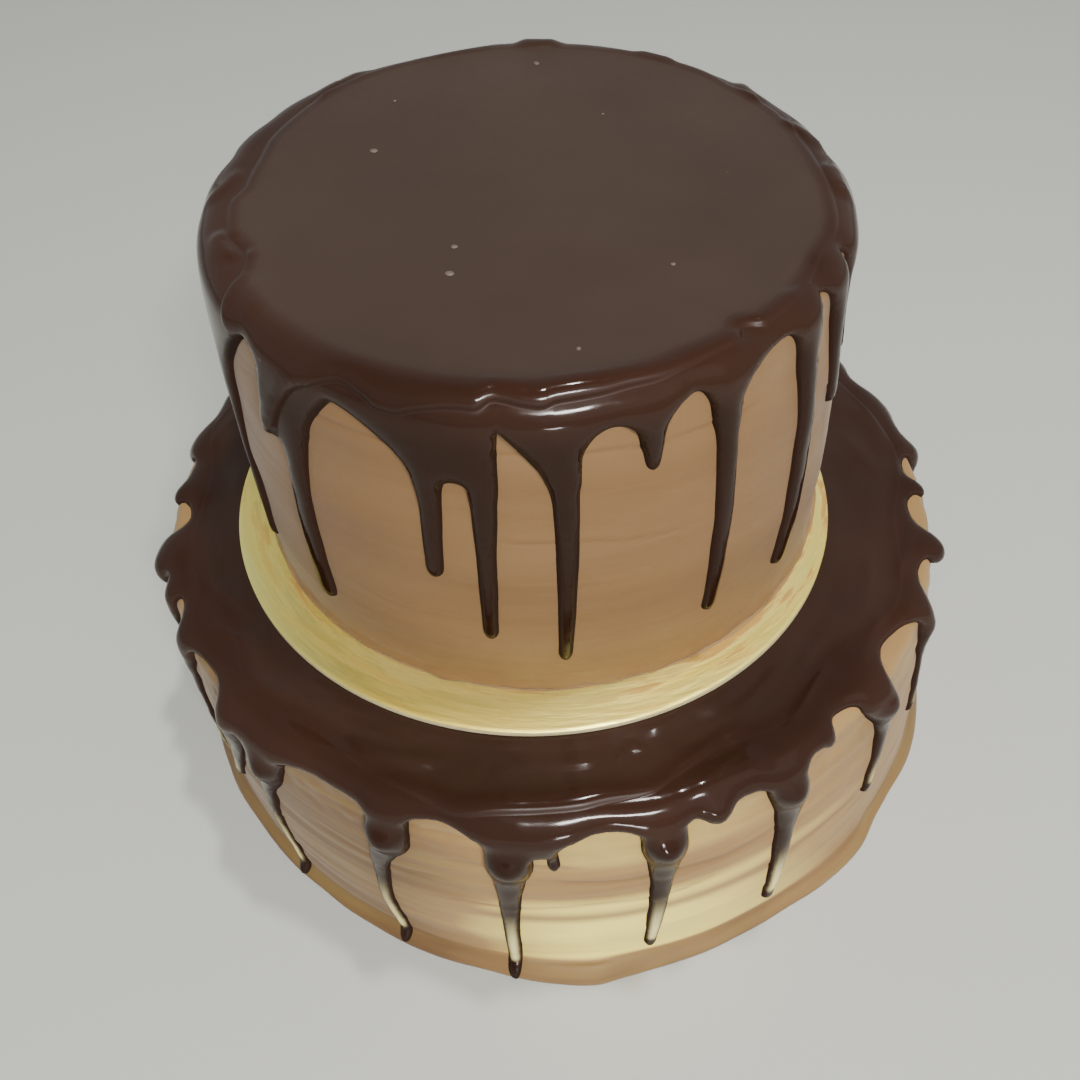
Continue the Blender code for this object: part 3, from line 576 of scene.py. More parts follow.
def mesh_object(name, points, faces, materials, attributes=None, face_materials=None):
    """A smooth mesh from points in mm and a list of face arrays."""
    mesh = bpy.data.meshes.new(name)
    corners = [face for group in faces for face in group.tolist()]
    mesh.from_pydata((points * MM).tolist(), [], corners, shade_flat=False)
    for material in materials:
        mesh.materials.append(material)
    if face_materials is not None:
        mesh.polygons.foreach_set("material_index", face_materials.astype(np.int32))
    for key, values in (attributes or {}).items():
        made = mesh.attributes.new(key, "FLOAT", "POINT")
        made.data.foreach_set("value", values.astype(np.float32))
    mesh.validate()
    obj = bpy.data.objects.new(name, mesh)
    bpy.context.scene.collection.objects.link(obj)
    return obj


def grid_faces(rows, columns, closed=False):
    """Quads between rows of points that close round on themselves; closed joins the last row to the first."""
    r, c = np.meshgrid(np.arange(rows if closed else rows - 1), np.arange(columns), indexing="ij")
    below, d = (r + 1) % rows, (c + 1) % columns
    quads = np.stack([r * columns + c, below * columns + c, below * columns + d, r * columns + d], -1)
    return quads.reshape(-1, 4)


def capped(rings, top, bottom):
    """A closed skin of rings from the top down, with a point in the middle of each end: points and faces."""
    rows, columns, _ = rings.shape
    c = np.arange(columns)
    d = (c + 1) % columns
    last = (rows - 1) * columns
    middle = np.full(columns, rows * columns)
    fans = np.concatenate([np.stack([middle, c, d], -1), np.stack([middle + 1, last + d, last + c], -1)])
    return np.concatenate([rings.reshape(-1, 3), [top, bottom]]), [grid_faces(rows, columns), fans]


def cream_tier(name, surface, relief, material, tone, columns, step):
    """The tier's cream: its hidden top in a few rings, its side in fine ones."""
    side = surface.flat + surface.arc
    ridge = 1.6 * surface.tier["ridge_height"]
    foot = surface.length - ridge
    rows = np.concatenate([
        surface.flat * np.array([0.25, 0.5, 0.75, 0.9]),
        surface.flat + np.linspace(0, 1, 9) * surface.arc,
        np.linspace(side, foot, round((foot - side) / step))[1:],
        np.linspace(foot, surface.length, round(ridge / (0.6 * step)))[1:],
    ])
    azimuth, s = np.meshgrid(turns(columns), rows)
    body = surface.points(azimuth, s, 0.0, relief)
    body[-1, :, 2] = surface.tier["z0"]
    points, faces = capped(body, surface.points(0.0, 0.0), [*surface.tier["foot"], surface.tier["z0"]])
    tones = np.append(tone(azimuth, surface.profile(s)[1]), [0.5, 0.5])
    return mesh_object(name, points, faces, [material], {"tone": tones})


# ------------ the ganache

SUNK = 0.22  # how far the outline sits below the smooth surface, so that it never stands clear of the cream
UNDERSIDE = 0.9  # how deep the hidden underside lies in the cream
CONTACT = 0.64  # how blunt a film's edge is: 0.5 stands upright on the cream, 1 runs out flat
SPREAD = 0.22  # how soon a film gets its full thickness, away from its edge
MOST_STEPS, CLOSE = 400, 1e-9  # when the search for a film's heights ends
# The mesh follows the outline and lines inside it: (the field's value, the points' spacing).
OUTLINE_SPACING = 0.7
LEVELS = ((0.16, 0.75), (0.42, 0.8), (0.8, 0.95), (1.3, 1.1), (1.9, 1.4))
FEWEST = 8  # points on such a line; a shorter one is left out
# It follows the lip in rows, closest where it is steepest, by their distance inside it.
LIP_ROWS = (-1.3, -0.55, -0.15, 0.12, 0.45, 0.95, 1.7)
LIP_SPACING = 1.1
LIP_INSIDE = 2.1  # the field's value where these rows stop
# Between them it has level rows on the rim and the side: (first drop, end, step).
RIM_ROWS = ((-13.0, -5.0, 1.5), (-4.8, 12.0, 1.05), (12.8, 40.0, 1.5))
RIM_INSIDE = 2.5
LIP_APART = 2.2  # how close to the lip they come
TOP_REACH = 14.6  # how far inside the edge the top's rows begin
COARSE = 7.0  # their step where nothing shows


def film(positions, faces, fixed, thickness):
    """Heights of a liquid film over a mesh: 0 at the fixed points, swelling towards the given thickness."""
    n = len(positions)
    ends, others, weights = [], [], []
    area = np.zeros(n)
    for a, b, c in (np.roll(faces, -turn, axis=1).T for turn in range(3)):
        u, v = positions[a] - positions[c], positions[b] - positions[c]
        cross = np.linalg.norm(np.cross(u, v), axis=1) + 1e-9
        cot = np.clip(np.einsum("ij,ij->i", u, v) / cross, -5, 5) / 2
        ends += [a, b]
        others += [b, a]
        weights += [cot, cot]
        area += np.bincount(a, cross / 6, n)
    ends, others, weights = (np.concatenate(part) for part in (ends, others, weights))
    weights = np.maximum(weights, 0.01)
    diagonal = np.bincount(ends, weights, n) + SPREAD * area
    # Conjugate gradients, with the diagonal as preconditioner.
    u = np.zeros(n)
    residual = np.where(fixed, 0, SPREAD * thickness**2 * area)
    p = z = residual / diagonal
    rz = residual @ z
    for _ in range(MOST_STEPS):
        ap = np.where(fixed, 0, diagonal * p - np.bincount(ends, weights * p[others], n))
        alpha = rz / max(p @ ap, 1e-30)
        u += alpha * p
        residual -= alpha * ap
        z = residual / diagonal
        before, rz = rz, residual @ z
        if rz < CLOSE * n:
            break
        p = z + rz / before * p
    return thickness * np.maximum(u / thickness**2, 0) ** CONTACT


def triangulate(azimuth, radius, outline):
    """Triangles over the sunburst picture of a top and its side, kept inside the outline."""
    x, y = radius * np.sin(azimuth), -radius * np.cos(azimuth)
    edges = [(a, (a + 1) % outline) for a in range(outline)]
    flat = [Vector(place) for place in zip(x.tolist(), y.tolist())]
    _, _, faces, origin, _, _ = delaunay_2d_cdt(flat, edges, [], 1, 1e-5)
    index = np.array([source[0] if source else -1 for source in origin])
    if index.min() < 0:
        raise ValueError("the outline crosses itself")
    tris = index[np.array(faces)]
    x, y = x[tris], y[tris]
    turned = (x[:, 1] - x[:, 0]) * (y[:, 2] - y[:, 0]) - (x[:, 2] - x[:, 0]) * (y[:, 1] - y[:, 0]) < 0
    tris[turned] = tris[turned][:, ::-1]
    return tris


def staggered(rows, counts, rng):
    """Points all round at each row's value, each row begun at a random place: azimuths and values."""
    counts = np.maximum(6, np.round(counts)).astype(int)
    azimuth = np.concatenate([(np.arange(count) + rng.random()) * math.tau / count for count in counts])
    return azimuth, np.repeat(rows, counts)


def lip_points(flow, lip):
    """Azimuths (radians) and drops of the rows of points that follow the lip."""
    edge = flow.surface.edge
    x = np.arange(0, flow.around, 0.5)
    x, drop = evenly(np.stack([x, round_interp(np.degrees(x / edge), lip)], -1), flow.around, LIP_SPACING)
    along_x = wrapped(np.roll(x, -1) - np.roll(x, 1), 0.0, flow.around)
    along_d = np.roll(drop, -1) - np.roll(drop, 1)
    size = np.hypot(along_x, along_d)
    rows = [((x + off * along_d / size) / edge, drop - off * along_x / size) for off in LIP_ROWS]
    rows = np.concatenate(rows, axis=1)
    return rows[:, flow.read(flow.field, *rows) > LIP_INSIDE]


def pour_points(flow, past, lip, look):
    """Azimuths (radians) and drops of the points of one tier's ganache, and how many are its outline's."""
    edge = flow.surface.edge
    rng = np.random.default_rng(look["seed"])
    outline = evenly(flow.contours(0.0)[0], flow.around, OUTLINE_SPACING)
    lines = [outline]
    for level, spacing in LEVELS:
        lines += [evenly(line, flow.around, spacing) for line in flow.contours(level) if len(line) > FEWEST]
    x, drop = np.concatenate(lines, axis=1)
    rows = np.concatenate([np.arange(*part) for part in RIM_ROWS])
    spacing = np.where(np.abs(rows - 3.5) < 8.5, 1.25, 1.6)
    rim = np.array(staggered(rows, flow.around / spacing, rng))
    clear = np.abs(flow.read(past, *rim, LIP_DROPS[0])) > LIP_APART
    clear &= flow.read(flow.field, *rim) > RIM_INSIDE
    fine = np.arange(edge - TOP_REACH, look["plain"], -look["spacing"])
    coarse = np.arange(look["plain"] - 3, 8, -COARSE)
    counts = math.tau * np.concatenate([fine / look["spacing"], coarse / COARSE])
    azimuth, radius = staggered(np.concatenate([fine, coarse]), counts, rng)
    top = (np.append(azimuth, 0.0), np.append(radius, 0.0) - edge)
    points = np.concatenate([(x / edge, drop), lip_points(flow, lip), rim[:, clear], top], axis=1)
    return *points, outline.shape[1]


def pour(name, surface, hem, lip, look, material):
    """One tier's ganache: a closed skin with a rolled edge, thick heads and tips, and a second pour on it."""
    flow = Flow(surface, *hem, look["fuller"])
    lip_grid = flow.past_lip(lip)
    azimuth, drop, count = pour_points(flow, lip_grid, lip, look)
    degrees, s = np.degrees(azimuth), surface.at_drop(drop)
    fixed = np.arange(len(s)) < count
    sunburst = np.where(s < surface.edge, s, surface.edge * np.exp((s - surface.edge) / surface.edge))
    faces = triangulate(azimuth, sunburst, count)
    base = surface.points(azimuth, s, 0.0, look["relief"])
    along, across = flow.read(flow.along, azimuth, drop), flow.read(flow.across, azimuth, drop)
    height = film(base, faces, fixed, look["thickness"](base, s, along))

    # The second pour rolls up from its lip, stands highest just behind it, and thins out behind that.
    past = flow.read(lip_grid, azimuth, drop, LIP_DROPS[0])
    lip_height = round_interp(degrees, look["lip"])
    lip_width = 1.3 + 0.95 * lip_height
    rolled = np.sqrt(1 - (1 - np.clip(past / lip_width, 0, 1)) ** 2)
    raised = rolled * (0.45 + (lip_height - 0.45) * np.exp(-np.maximum(past - lip_width, 0) / 3.0))
    raised += look["ridges"](degrees, s) * (1 - smooth((s - surface.flat - 2) / 4))
    raised += look["swell"](azimuth, s) + look["band"](degrees, drop)
    raised += bulbs(degrees, drop, surface.edge, look["bulbs"])
    height = height + smooth(height / 1.2) * raised * look["free"](base)
    height = np.where(fixed, 0, np.maximum(height, 0.12) * (1 + SUNK / 3) + SUNK * smooth(height / 1.5))

    # Painted on the mesh: the satin top, wet at the front near its lip; a pale painted reflection down the
    # middle of the lower runs;
    # the steep edges and the lip's fold, which mirror nothing; and what hangs down the side, which the
    # ganache's colour darkens as painted shade.
    wet = 0.8 + 2.7 * bell(wrapped(degrees) - 2, 42)
    satin = look["satin"] * (1 - smooth((s - surface.flat + 3) / 6)) * smooth((past - wet) / 4)
    # Painted reflection: the middle of each lower run is painted pale, as if it mirrored the gold card below;
    # its edges and tip stay dark.
    painted_reflection = look["painted_reflection"] * smooth((drop - 32) / 22) * smooth((across - 0.30) / 0.50)
    painted_reflection *= smooth((along - 0.45) / 0.4) * smooth((0.95 - along) / 0.04)
    fold = bell(past - 0.1, 0.5) * smooth((lip_height - 0.5) / 0.8)
    rim = np.maximum(1 - smooth((height - 0.85) / 1.15), fold)
    looks = {"satin": satin, "painted_reflection": painted_reflection, "rim": rim, "hang": smooth((drop - 5) / 8)}

    outer = surface.points(azimuth, s, height - SUNK, look["relief"])
    under = surface.points(azimuth, s, -UNDERSIDE, look["relief"])
    below = np.where(fixed, np.arange(len(s)), len(s) + np.cumsum(~fixed) - 1)
    points = np.concatenate([outer, under[~fixed]])
    attributes = {key: np.concatenate([values, values[~fixed]]) for key, values in looks.items()}
    return mesh_object(name, points, [faces, below[faces[:, ::-1]]], [material], attributes)


# ------------ materials


def feed(tree, target, inputs):
    """Gives a node's inputs their links and constants; a colour may come without its alpha."""
    for key, value in inputs.items():
        socket = target.inputs[key]
        if isinstance(value, bpy.types.NodeSocket):
            tree.links.new(value, socket)
        else:
            socket.default_value = (*value, 1) if socket.type == "RGBA" else value


def node(tree, kind, inputs=None, output=0, **settings):
    """One output of a new node."""
    made = tree.nodes.new("ShaderNode" + kind)
    for key, value in settings.items():
        setattr(made, key, value)
    feed(tree, made, inputs or {})
    return made.outputs[output]


def mix(tree, factor, a, b):
    return node(tree, "Mix", {0: factor, 6: a, 7: b}, 2, data_type="RGBA")


def ramp(tree, value, low, high, to_low=0.0, to_high=1.0):
    return node(tree, "MapRange", {0: value, 1: low, 2: high, 3: to_low, 4: to_high})


def noise(tree, vector, scale, detail=3.0, roughness=0.5):
    inputs = {"Vector": vector, "Scale": scale, "Detail": detail, "Roughness": roughness}
    return node(tree, "TexNoise", inputs)


def bump(tree, height, strength, distance, **more):
    return node(tree, "Bump", {"Height": height, "Strength": strength, "Distance": distance, **more})


def place_on(tree, scale=(1, 1, 1)):
    """Object coordinates, scaled along each axis."""
    place = node(tree, "TexCoord", output="Object")
    return node(tree, "Mapping", {"Vector": place, "Scale": scale})


def painted(tree, name):
    """What is painted on the mesh under a name."""
    return node(tree, "Attribute", output="Fac", attribute_name=name)


def maths(tree, operation, a, b):
    return node(tree, "Math", {0: a, 1: b}, operation=operation)


def vectors(tree, operation, a, b=(0, 0, 0), output="Vector"):
    return node(tree, "VectorMath", {0: a, 1: b}, output, operation=operation)


def new_material(name):
    made = bpy.data.materials.new(name)
    made.use_nodes = True
    return made, made.node_tree, made.node_tree.nodes["Principled BSDF"]


def cream_material(name, deep, middle, light, streaks):
    """Whipped mocha cream: its colour runs from deep to light with the tone painted on the mesh, which
    carries painted light and shade as well as the cream's own tones.
    """
    made, tree, shader = new_material(name)
    tone = painted(tree, "tone")
    colour = mix(tree, ramp(tree, tone, 0.5, 1.0), mix(tree, ramp(tree, tone, 0.0, 0.5), deep, middle), light)
    blotch = noise(tree, place_on(tree, (1, 1, 2.6)), 26, 4)
    level = noise(tree, place_on(tree, (0.25, 0.25, 5)), 60, 2)
    colour = mix(tree, ramp(tree, blotch, 0.35, 0.7, 0.0, 0.16), colour, deep)
    pores = bump(tree, noise(tree, place_on(tree), 900, 2), 0.12, 0.0003)
    feed(tree, shader, {
        "Base Color": mix(tree, ramp(tree, level, 0.4, 0.7, 0.0, streaks), colour, light),
        "Roughness": ramp(tree, blotch, 0.3, 0.7, 0.5, 0.62),
        "Normal": bump(tree, level, 0.18, 0.0012, Normal=pores),
        "Specular IOR Level": 0.35,
        "Sheen Weight": 0.08,
    })
    return made


def ganache_material(name):
    """Dark ganache: satin on the level top, wet on the edge and the runs, with a pale painted reflection of
    the gold card down the middle of each lower run.
    """
    made, tree, shader = new_material(name)
    place, satin = place_on(tree), painted(tree, "satin")
    cloud = noise(tree, place, 18, 4)
    dark = mix(tree, ramp(tree, cloud, 0.35, 0.7), (0.0200, 0.0086, 0.0052), (0.0280, 0.0120, 0.0074))
    # The satin top's colour is lighter than the wet ganache's: partly its own matte tone, partly painted
    # sheen.
    dull_and_sheen = mix(tree, ramp(tree, cloud, 0.3, 0.7), (0.0300, 0.0185, 0.0132), (0.0380, 0.0236, 0.0170))
    # Painted shade: the ganache that hangs down the side is made darker and redder.
    hang = ramp(tree, painted(tree, "hang"), 0.0, 1.0, 0.0, 0.8)
    colour = mix(tree, hang, mix(tree, satin, dark, dull_and_sheen), (0.0135, 0.0042, 0.0015))
    # Undersides are matte too, so that they don't mirror the pale cream below.
    facing = node(tree, "SeparateXYZ", {0: node(tree, "NewGeometry", output="Normal")}, 2)
    matte = maths(tree, "MAXIMUM", painted(tree, "rim"), ramp(tree, facing, -0.12, -0.5))
    grain = ramp(tree, noise(tree, place, 420, 2), 0.3, 0.7, 0.0, 0.04)
    rough = maths(tree, "ADD", ramp(tree, satin, 0.35, 1, 0.09, 0.42), grain)
    feed(tree, shader, {
        # The pale colour here is a painted reflection of the gold card, down the middle of the lower runs.
        "Base Color": mix(tree, painted(tree, "painted_reflection"), colour, (0.66, 0.58, 0.27)),
        "Roughness": maths(tree, "ADD", rough, ramp(tree, matte, 0.0, 1.0, 0.0, 0.9)),
        "Normal": bump(tree, noise(tree, place, 70, 3), 0.05, 0.0008),
        "Specular IOR Level": 0.17,
        "IOR": 1.5,
    })
    return made


def foil_material(name, centre):
    """Gold foil on card, lightly rippled, with a greasy smear of cream round the tier's foot."""
    made, tree, shader = new_material(name)
    level = vectors(tree, "SUBTRACT", node(tree, "TexCoord", output="Object"), centre)
    level = vectors(tree, "MULTIPLY", level, (1, 1, 0))
    radius = vectors(tree, "LENGTH", level, output="Value")
    # Noise over the radius, and over the azimuth many times slower, gives rings that come and go.
    turn = vectors(tree, "MULTIPLY", vectors(tree, "NORMALIZE", level), (0.012, 0.012, 0.012))
    polar = vectors(tree, "ADD", turn, node(tree, "CombineXYZ", {2: radius}))
    rings, patches = noise(tree, polar, 420, 3, 0.6), noise(tree, polar, 110, 3, 0.6)
    ragged = maths(tree, "ADD", radius, ramp(tree, patches, 0.3, 0.7, -0.006, 0.006))
    reach = ramp(tree, ragged, 0.0925, 0.1075, 1.0, 0.0)
    smear = maths(tree, "MULTIPLY", reach, ramp(tree, rings, 0.44, 0.58, 0.05, 1.0))
    gold = mix(tree, ramp(tree, patches, 0.3, 0.7), (1.0, 0.82, 0.16), (1.0, 0.95, 0.31))
    feed(tree, shader, {
        "Base Color": mix(tree, smear, gold, (0.46, 0.27, 0.06)),
        "Metallic": ramp(tree, smear, 0.0, 1.0, 0.85, 0.40),
        "Roughness": ramp(tree, smear, 0.0, 1.0, 0.36, 0.6),
        "Normal": bump(tree, rings, 0.35, 0.0006),
    })
    return made


def paper_material(name, colour):
    made, tree, shader = new_material(name)
    fibre = noise(tree, place_on(tree, (1, 1, 4)), 350, 3)
    shade = tuple(0.75 * c for c in colour)
    feed(tree, shader, {
        "Base Color": mix(tree, ramp(tree, fibre, 0.35, 0.65), shade, colour),
        "Roughness": 0.7,
        "Normal": bump(tree, fibre, 0.3, 0.0003),
    })
    return made


def plain_material(name, colour, roughness):
    made, tree, shader = new_material(name)
    feed(tree, shader, {"Base Color": colour, "Roughness": roughness})
    return made


# ------------ the card between the tiers

low, high = (np.array(corner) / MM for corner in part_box("tier_board"))
BOARD_XY = (low + high)[:2] / 2
BOARD_RADIUS = (high - low)[0] / 2
BOARD_Z0, BOARD_Z1 = low[2], high[2]


def off_board(base):
    """How far places lie outside the board's edge, seen from above."""
    return np.hypot(*(base[:, :2] - BOARD_XY).T) - BOARD_RADIUS


def card_object(name, foil, paper):
    """The round card: foil over the top and a bare cut edge."""
    bevel, columns = 0.35, 256
    profile = [(r, BOARD_Z1) for r in (20, 45, 65, 75, 82, 87, 91, 94, 96, BOARD_RADIUS - bevel)]
    profile += [(BOARD_RADIUS - 0.1, BOARD_Z1 - 0.12), (BOARD_RADIUS, BOARD_Z1 - bevel)]
    edge_row = len(profile) - 1
    profile += [(BOARD_RADIUS - 0.05, BOARD_Z0 + bevel)]
    profile += [(r, BOARD_Z0) for r in (BOARD_RADIUS - bevel, 70, 30)]
    rings = np.stack([ring(BOARD_XY, r, turns(columns), z) for r, z in profile])
    points, faces = capped(rings, (*BOARD_XY, BOARD_Z1), (*BOARD_XY, BOARD_Z0))
    sides = np.repeat(np.arange(len(profile) - 1) >= edge_row, columns)
    kinds = np.concatenate([sides, np.zeros(columns), np.ones(columns)])
    return mesh_object(name, points, faces, [foil, paper], None, kinds)


def card_smear(name, surface, material):
    """Cream pushed onto the card round the upper tier's foot, in streaks that follow the tier."""
    rows, columns = 14, 720
    azimuth, foot = turns(columns), surface.tier["foot"]
    inner = surface.side(surface.tier["z0"]) - 2.0
    # How far the card reaches out from the tier's own middle, at each azimuth.
    dx, dy = foot - BOARD_XY
    along = dx * np.sin(azimuth) - dy * np.cos(azimuth)
    room = -along + np.sqrt(along**2 - dx**2 - dy**2 + BOARD_RADIUS**2)
    reach = 91.5 + lumps(azimuth, 0, seed=41, count=10, height=0.25, size=40, radius=91)
    reach += lumps(azimuth, 0, seed=42, count=8, height=0.12, size=12, radius=91)
    reach = np.maximum(np.minimum(reach, room - 1.0), inner + 0.6)
    t = np.linspace(0, 1, rows)[:, None]
    r = inner + (reach - inner) * t
    height = 0.8 * (1 - t) ** 2 + 0.15 * (1 - t**4)
    height = height * (1 + 0.35 * np.cos(math.tau * (r - inner) / 1.7 + 2 * np.sin(5 * azimuth)))
    top = ring(foot, r, azimuth, BOARD_Z1 + np.where(t < 1, np.maximum(height, 0.05), 0.0))
    under = top[[-1, 0]].copy()
    under[:, :, 2] = BOARD_Z1 - 0.05
    points = np.concatenate([top, under]).reshape(-1, 3)
    faces = grid_faces(rows + 2, columns, closed=True)
    return mesh_object(name, points, [faces], [material], {"tone": np.full(len(points), 0.4)})


def bubbles_object(name, surface, rows, lift, material):
    """Low pale domes where air came up through the pour."""
    rings, columns = 4, 14
    t, b, c = np.arange(1, rings + 1)[:, None] / rings, turns(columns), np.arange(columns)
    cap = np.stack([np.full(columns, rings * columns), c, (c + 1) % columns], -1)
    skin = (grid_faces(rings, columns), cap, (rings - 1) * columns + c[None, ::-1])
    points, faces = [], []
    for degrees, distance, radius in rows:
        centre = surface.points(math.radians(degrees), distance, lift)
        across = radius * t * (1 + 0.08 * np.cos(2 * b + degrees))
        rise = radius * (0.28 * (1 - t * t) - 0.12 * (t == 1))
        dome = np.stack(np.broadcast_arrays(across * np.cos(b), across * np.sin(b), rise), -1)
        faces += [part + len(points) * (rings * columns + 1) for part in skin]
        points.append(centre + np.concatenate([dome.reshape(-1, 3), [(0, 0, 0.28 * radius)]]))
    return mesh_object(name, np.concatenate(points), faces, [material])


# ------------ looks of each pour

lower, upper = Surface(LOWER), Surface(UPPER)
CREAM_SHARE = 0.3  # how much of the cream's unevenness shows through the ganache


def lower_thickness(base, s, along):
    deep = BOARD_Z0 - LOWER["z1"] + 0.08
    top = 2.5 + (deep - 2.5) * smooth((5.0 - off_board(base)) / 6.0)
    hang = smooth((s - lower.flat + 2) / (lower.arc + 2))
    runs = 3.6 - 0.9 * smooth((along - 0.22) / 0.25) + 0.9 * smooth((along - 0.95) / 0.05)
    return top + (runs - top) * hang


def upper_thickness(base, s, along):
    hang = smooth((s - upper.flat + 2) / (upper.arc + 2))
    runs = 3.1 - 0.5 * smooth((along - 0.15) / 0.3) + 0.7 * smooth((along - 0.94) / 0.06)
    return 2.3 + (runs - 2.3) * hang


def back_ridges(seed, count, inner, outer):
    """Ridges for the part of the lower pour that isn't seen, like those in front."""
    rng = np.random.default_rng(seed)
    rows = []
    for azimuth in np.linspace(86, 270, count):
        a, r = azimuth + rng.uniform(-3, 3), rng.uniform(inner, outer)
        end = (a + rng.uniform(12, 24), r + rng.uniform(-6, 4))
        rows.append((a, r, *end, rng.uniform(1.8, 3.0), rng.uniform(0.25, 0.45)))
    return tuple(rows)


def hem_band(drop, middle, above, below):
    """The hem's roll, narrow above and long below."""
    return bell(drop - middle, np.where(drop < middle, above, below))


ALL_LOWER_RIDGES = LOWER_RIDGES + back_ridges(51, 34, 106.0, 122.0)
UPPER_LOOK = dict(
    seed=61, plain=5.0, spacing=2.4, satin=1.0, painted_reflection=0.0, fuller=0.0,
    lip=UPPER_LIP_HEIGHT, bulbs=UPPER_BULBS, thickness=upper_thickness,
    relief=lambda a, z: upper_relief(a, z, CREAM_SHARE),
    band=lambda degrees, drop: (0.35 + 0.95 * bell(wrapped(degrees) - 4, 24)) * hem_band(drop, 5.0, 3.4, 9.5),
    ridges=lambda a, s: ridges(a, s, UPPER_RIDGES),
    swell=lambda a, s: lumps(a, s, seed=62, count=8, height=0.10, size=60, radius=88) * smooth((s - 25) / 30),
    free=lambda base: 1.0,
)
LOWER_LOOK = dict(
    seed=63, plain=88.0, spacing=1.6, satin=0.3, painted_reflection=1.0, fuller=0.8,
    lip=LOWER_LIP_HEIGHT, bulbs=LOWER_BULBS, thickness=lower_thickness,
    relief=lambda a, z: lower_relief(a, z, CREAM_SHARE),
    band=lambda degrees, drop: 0.4 * hem_band(drop, 4.5, 2.6, 7.0),
    ridges=lambda a, s: 1.35 * ridges(a, s, ALL_LOWER_RIDGES),
    swell=lambda a, s: lumps(a, s, seed=64, count=10, height=0.12, size=22, radius=120),
    free=lambda base: smooth((off_board(base) + 0.5) / 4.0),  # nothing lifts it under the board
)


def lower_tone(azimuth, z):
    """Pale and yellow low on the side at the front, tan above and at the foot: the pale yellow is painted
    light, the glow a gold base board below would throw up, with a faint copy at the back.
    """
    turn = wrapped(np.degrees(azimuth))
    # Painted light: a pale yellow glow at the front, as from a gold board below, and a fainter one at the
    # back.
    pale = bell(turn - 4, np.where(turn < 4, 15, 27)) + 0.18 * bell(np.abs(turn) - 160, 26)
    light = 0.42 + (0.02 + 0.56 * pale) * smooth((35 - z) / 6) * smooth((z - 5.5) / 2.5)
    light += pale * (0.46 * bell(z - 40, 4.5) + 0.20 * smooth((z - 56) / 8))
    light -= 0.26 * smooth((8 - z) / 3) + 0.06 * smooth((turn - 35) / 15) * smooth((120 - turn) / 30)
    # The left is deeper, as painted shade, and pale again under the hem at the far left.
    light -= 0.12 * smooth((-turn - 6) / 8) * smooth((z - 35) / 6)
    light -= 0.36 * smooth((-turn - 9) / 18) * smooth((turn + 120) / 30)
    light += 0.40 * smooth((-turn - 48) / 18) * smooth((turn + 130) / 25) * smooth((z - 44) / 10)
    # Painted shade in the scraper's marks.
    light -= 0.6 * np.maximum(marks(turn, z, LOWER_MARKS), 0)
    return np.clip(light + uneven(azimuth, z, seed=71, count=8, height=0.03, shortest=12, longest=50), 0, 1)


def upper_tone(azimuth, z):
    """Even tan, a little deeper at the left, as painted shade, and at the foot."""
    turn = wrapped(np.degrees(azimuth))
    light = 0.5 + 0.10 * smooth((z - 165) / 20) - 0.10 * smooth((112 - z) / 20)
    # Painted shade: the left side is made deeper.
    light -= 0.14 * smooth((-turn - 5) / 30) * smooth((turn + 120) / 30)
    # Painted shade in the scraper's marks.
    light -= 0.8 * np.maximum(marks(turn, z, UPPER_MARKS), 0)
    return np.clip(light + uneven(azimuth, z, seed=72, count=8, height=0.05, shortest=12, longest=50), 0, 1)


# ------------ the pieces

# The foil's rings lie round a place a little off the middle of the upper tier's foot.
FOIL_CENTRE = (MM * (UPPER["foot"][0] + 3.0), MM * (UPPER["foot"][1] + 1.0), 0.0)
BUBBLE_LIFT = 3.0  # from the cream up to the ganache's surface
CREAM, CHOCOLATE = "mocha_cream", "chocolate_ganache"

# The lower cream's light colour is the yellow of its painted glow from a gold board below.
lower_cream = cream_material(
    "mocha_cream_lower", (0.112, 0.058, 0.020), (0.285, 0.167, 0.060), (0.94, 0.78, 0.18), 0.05)
upper_cream = cream_material(
    "mocha_cream_upper", (0.110, 0.055, 0.019), (0.164, 0.088, 0.032), (0.216, 0.129, 0.054), 0.12)
smeared = cream_material(
    "mocha_cream_smeared", (0.165, 0.09, 0.028), (0.25, 0.145, 0.048), (0.35, 0.225, 0.085), 0.12)
ganache = ganache_material(CHOCOLATE)
foil = foil_material("gold_foil_card", FOIL_CENTRE)
paper = paper_material("card_edge", (0.56, 0.49, 0.28))
skin = plain_material("bubble_skin", (0.088, 0.064, 0.048), 0.6)

lower_hem = back_of(
    LOWER_RUNS, LOWER_PEAKS, seed=11, lengths=(30, 70), widths=(1.9, 2.8), spacing=12.5, rise=(-3, 5))
upper_hem = back_of(
    UPPER_RUNS, UPPER_PEAKS, seed=5, lengths=(45, 92), widths=(2.2, 3.0), spacing=15.5, rise=(2, 9))

for piece, solid, slot in (
    (cream_tier("lower_cream", lower, lower_relief, lower_cream, lower_tone, columns=720, step=1.0),
     "lower_tier", CREAM),
    (cream_tier("upper_cream", upper, upper_relief, upper_cream, upper_tone, columns=540, step=0.95),
     "upper_tier", CREAM),
    (pour("lower_pour", lower, lower_hem, LOWER_LIP, LOWER_LOOK, ganache), "lower_ganache", CHOCOLATE),
    (pour("upper_pour", upper, upper_hem, UPPER_LIP, UPPER_LOOK, ganache), "upper_ganache", CHOCOLATE),
    (card_object("card", foil, paper), "tier_board", "gold_foil_card"),
    (card_smear("card_smear", upper, smeared), None, CREAM),
    (bubbles_object("pour_bubbles", upper, BUBBLES, BUBBLE_LIFT, skin), None, CHOCOLATE),
):
    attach(piece, "root")
    if solid:
        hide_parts(solid)

# ------------ floor, light and camera

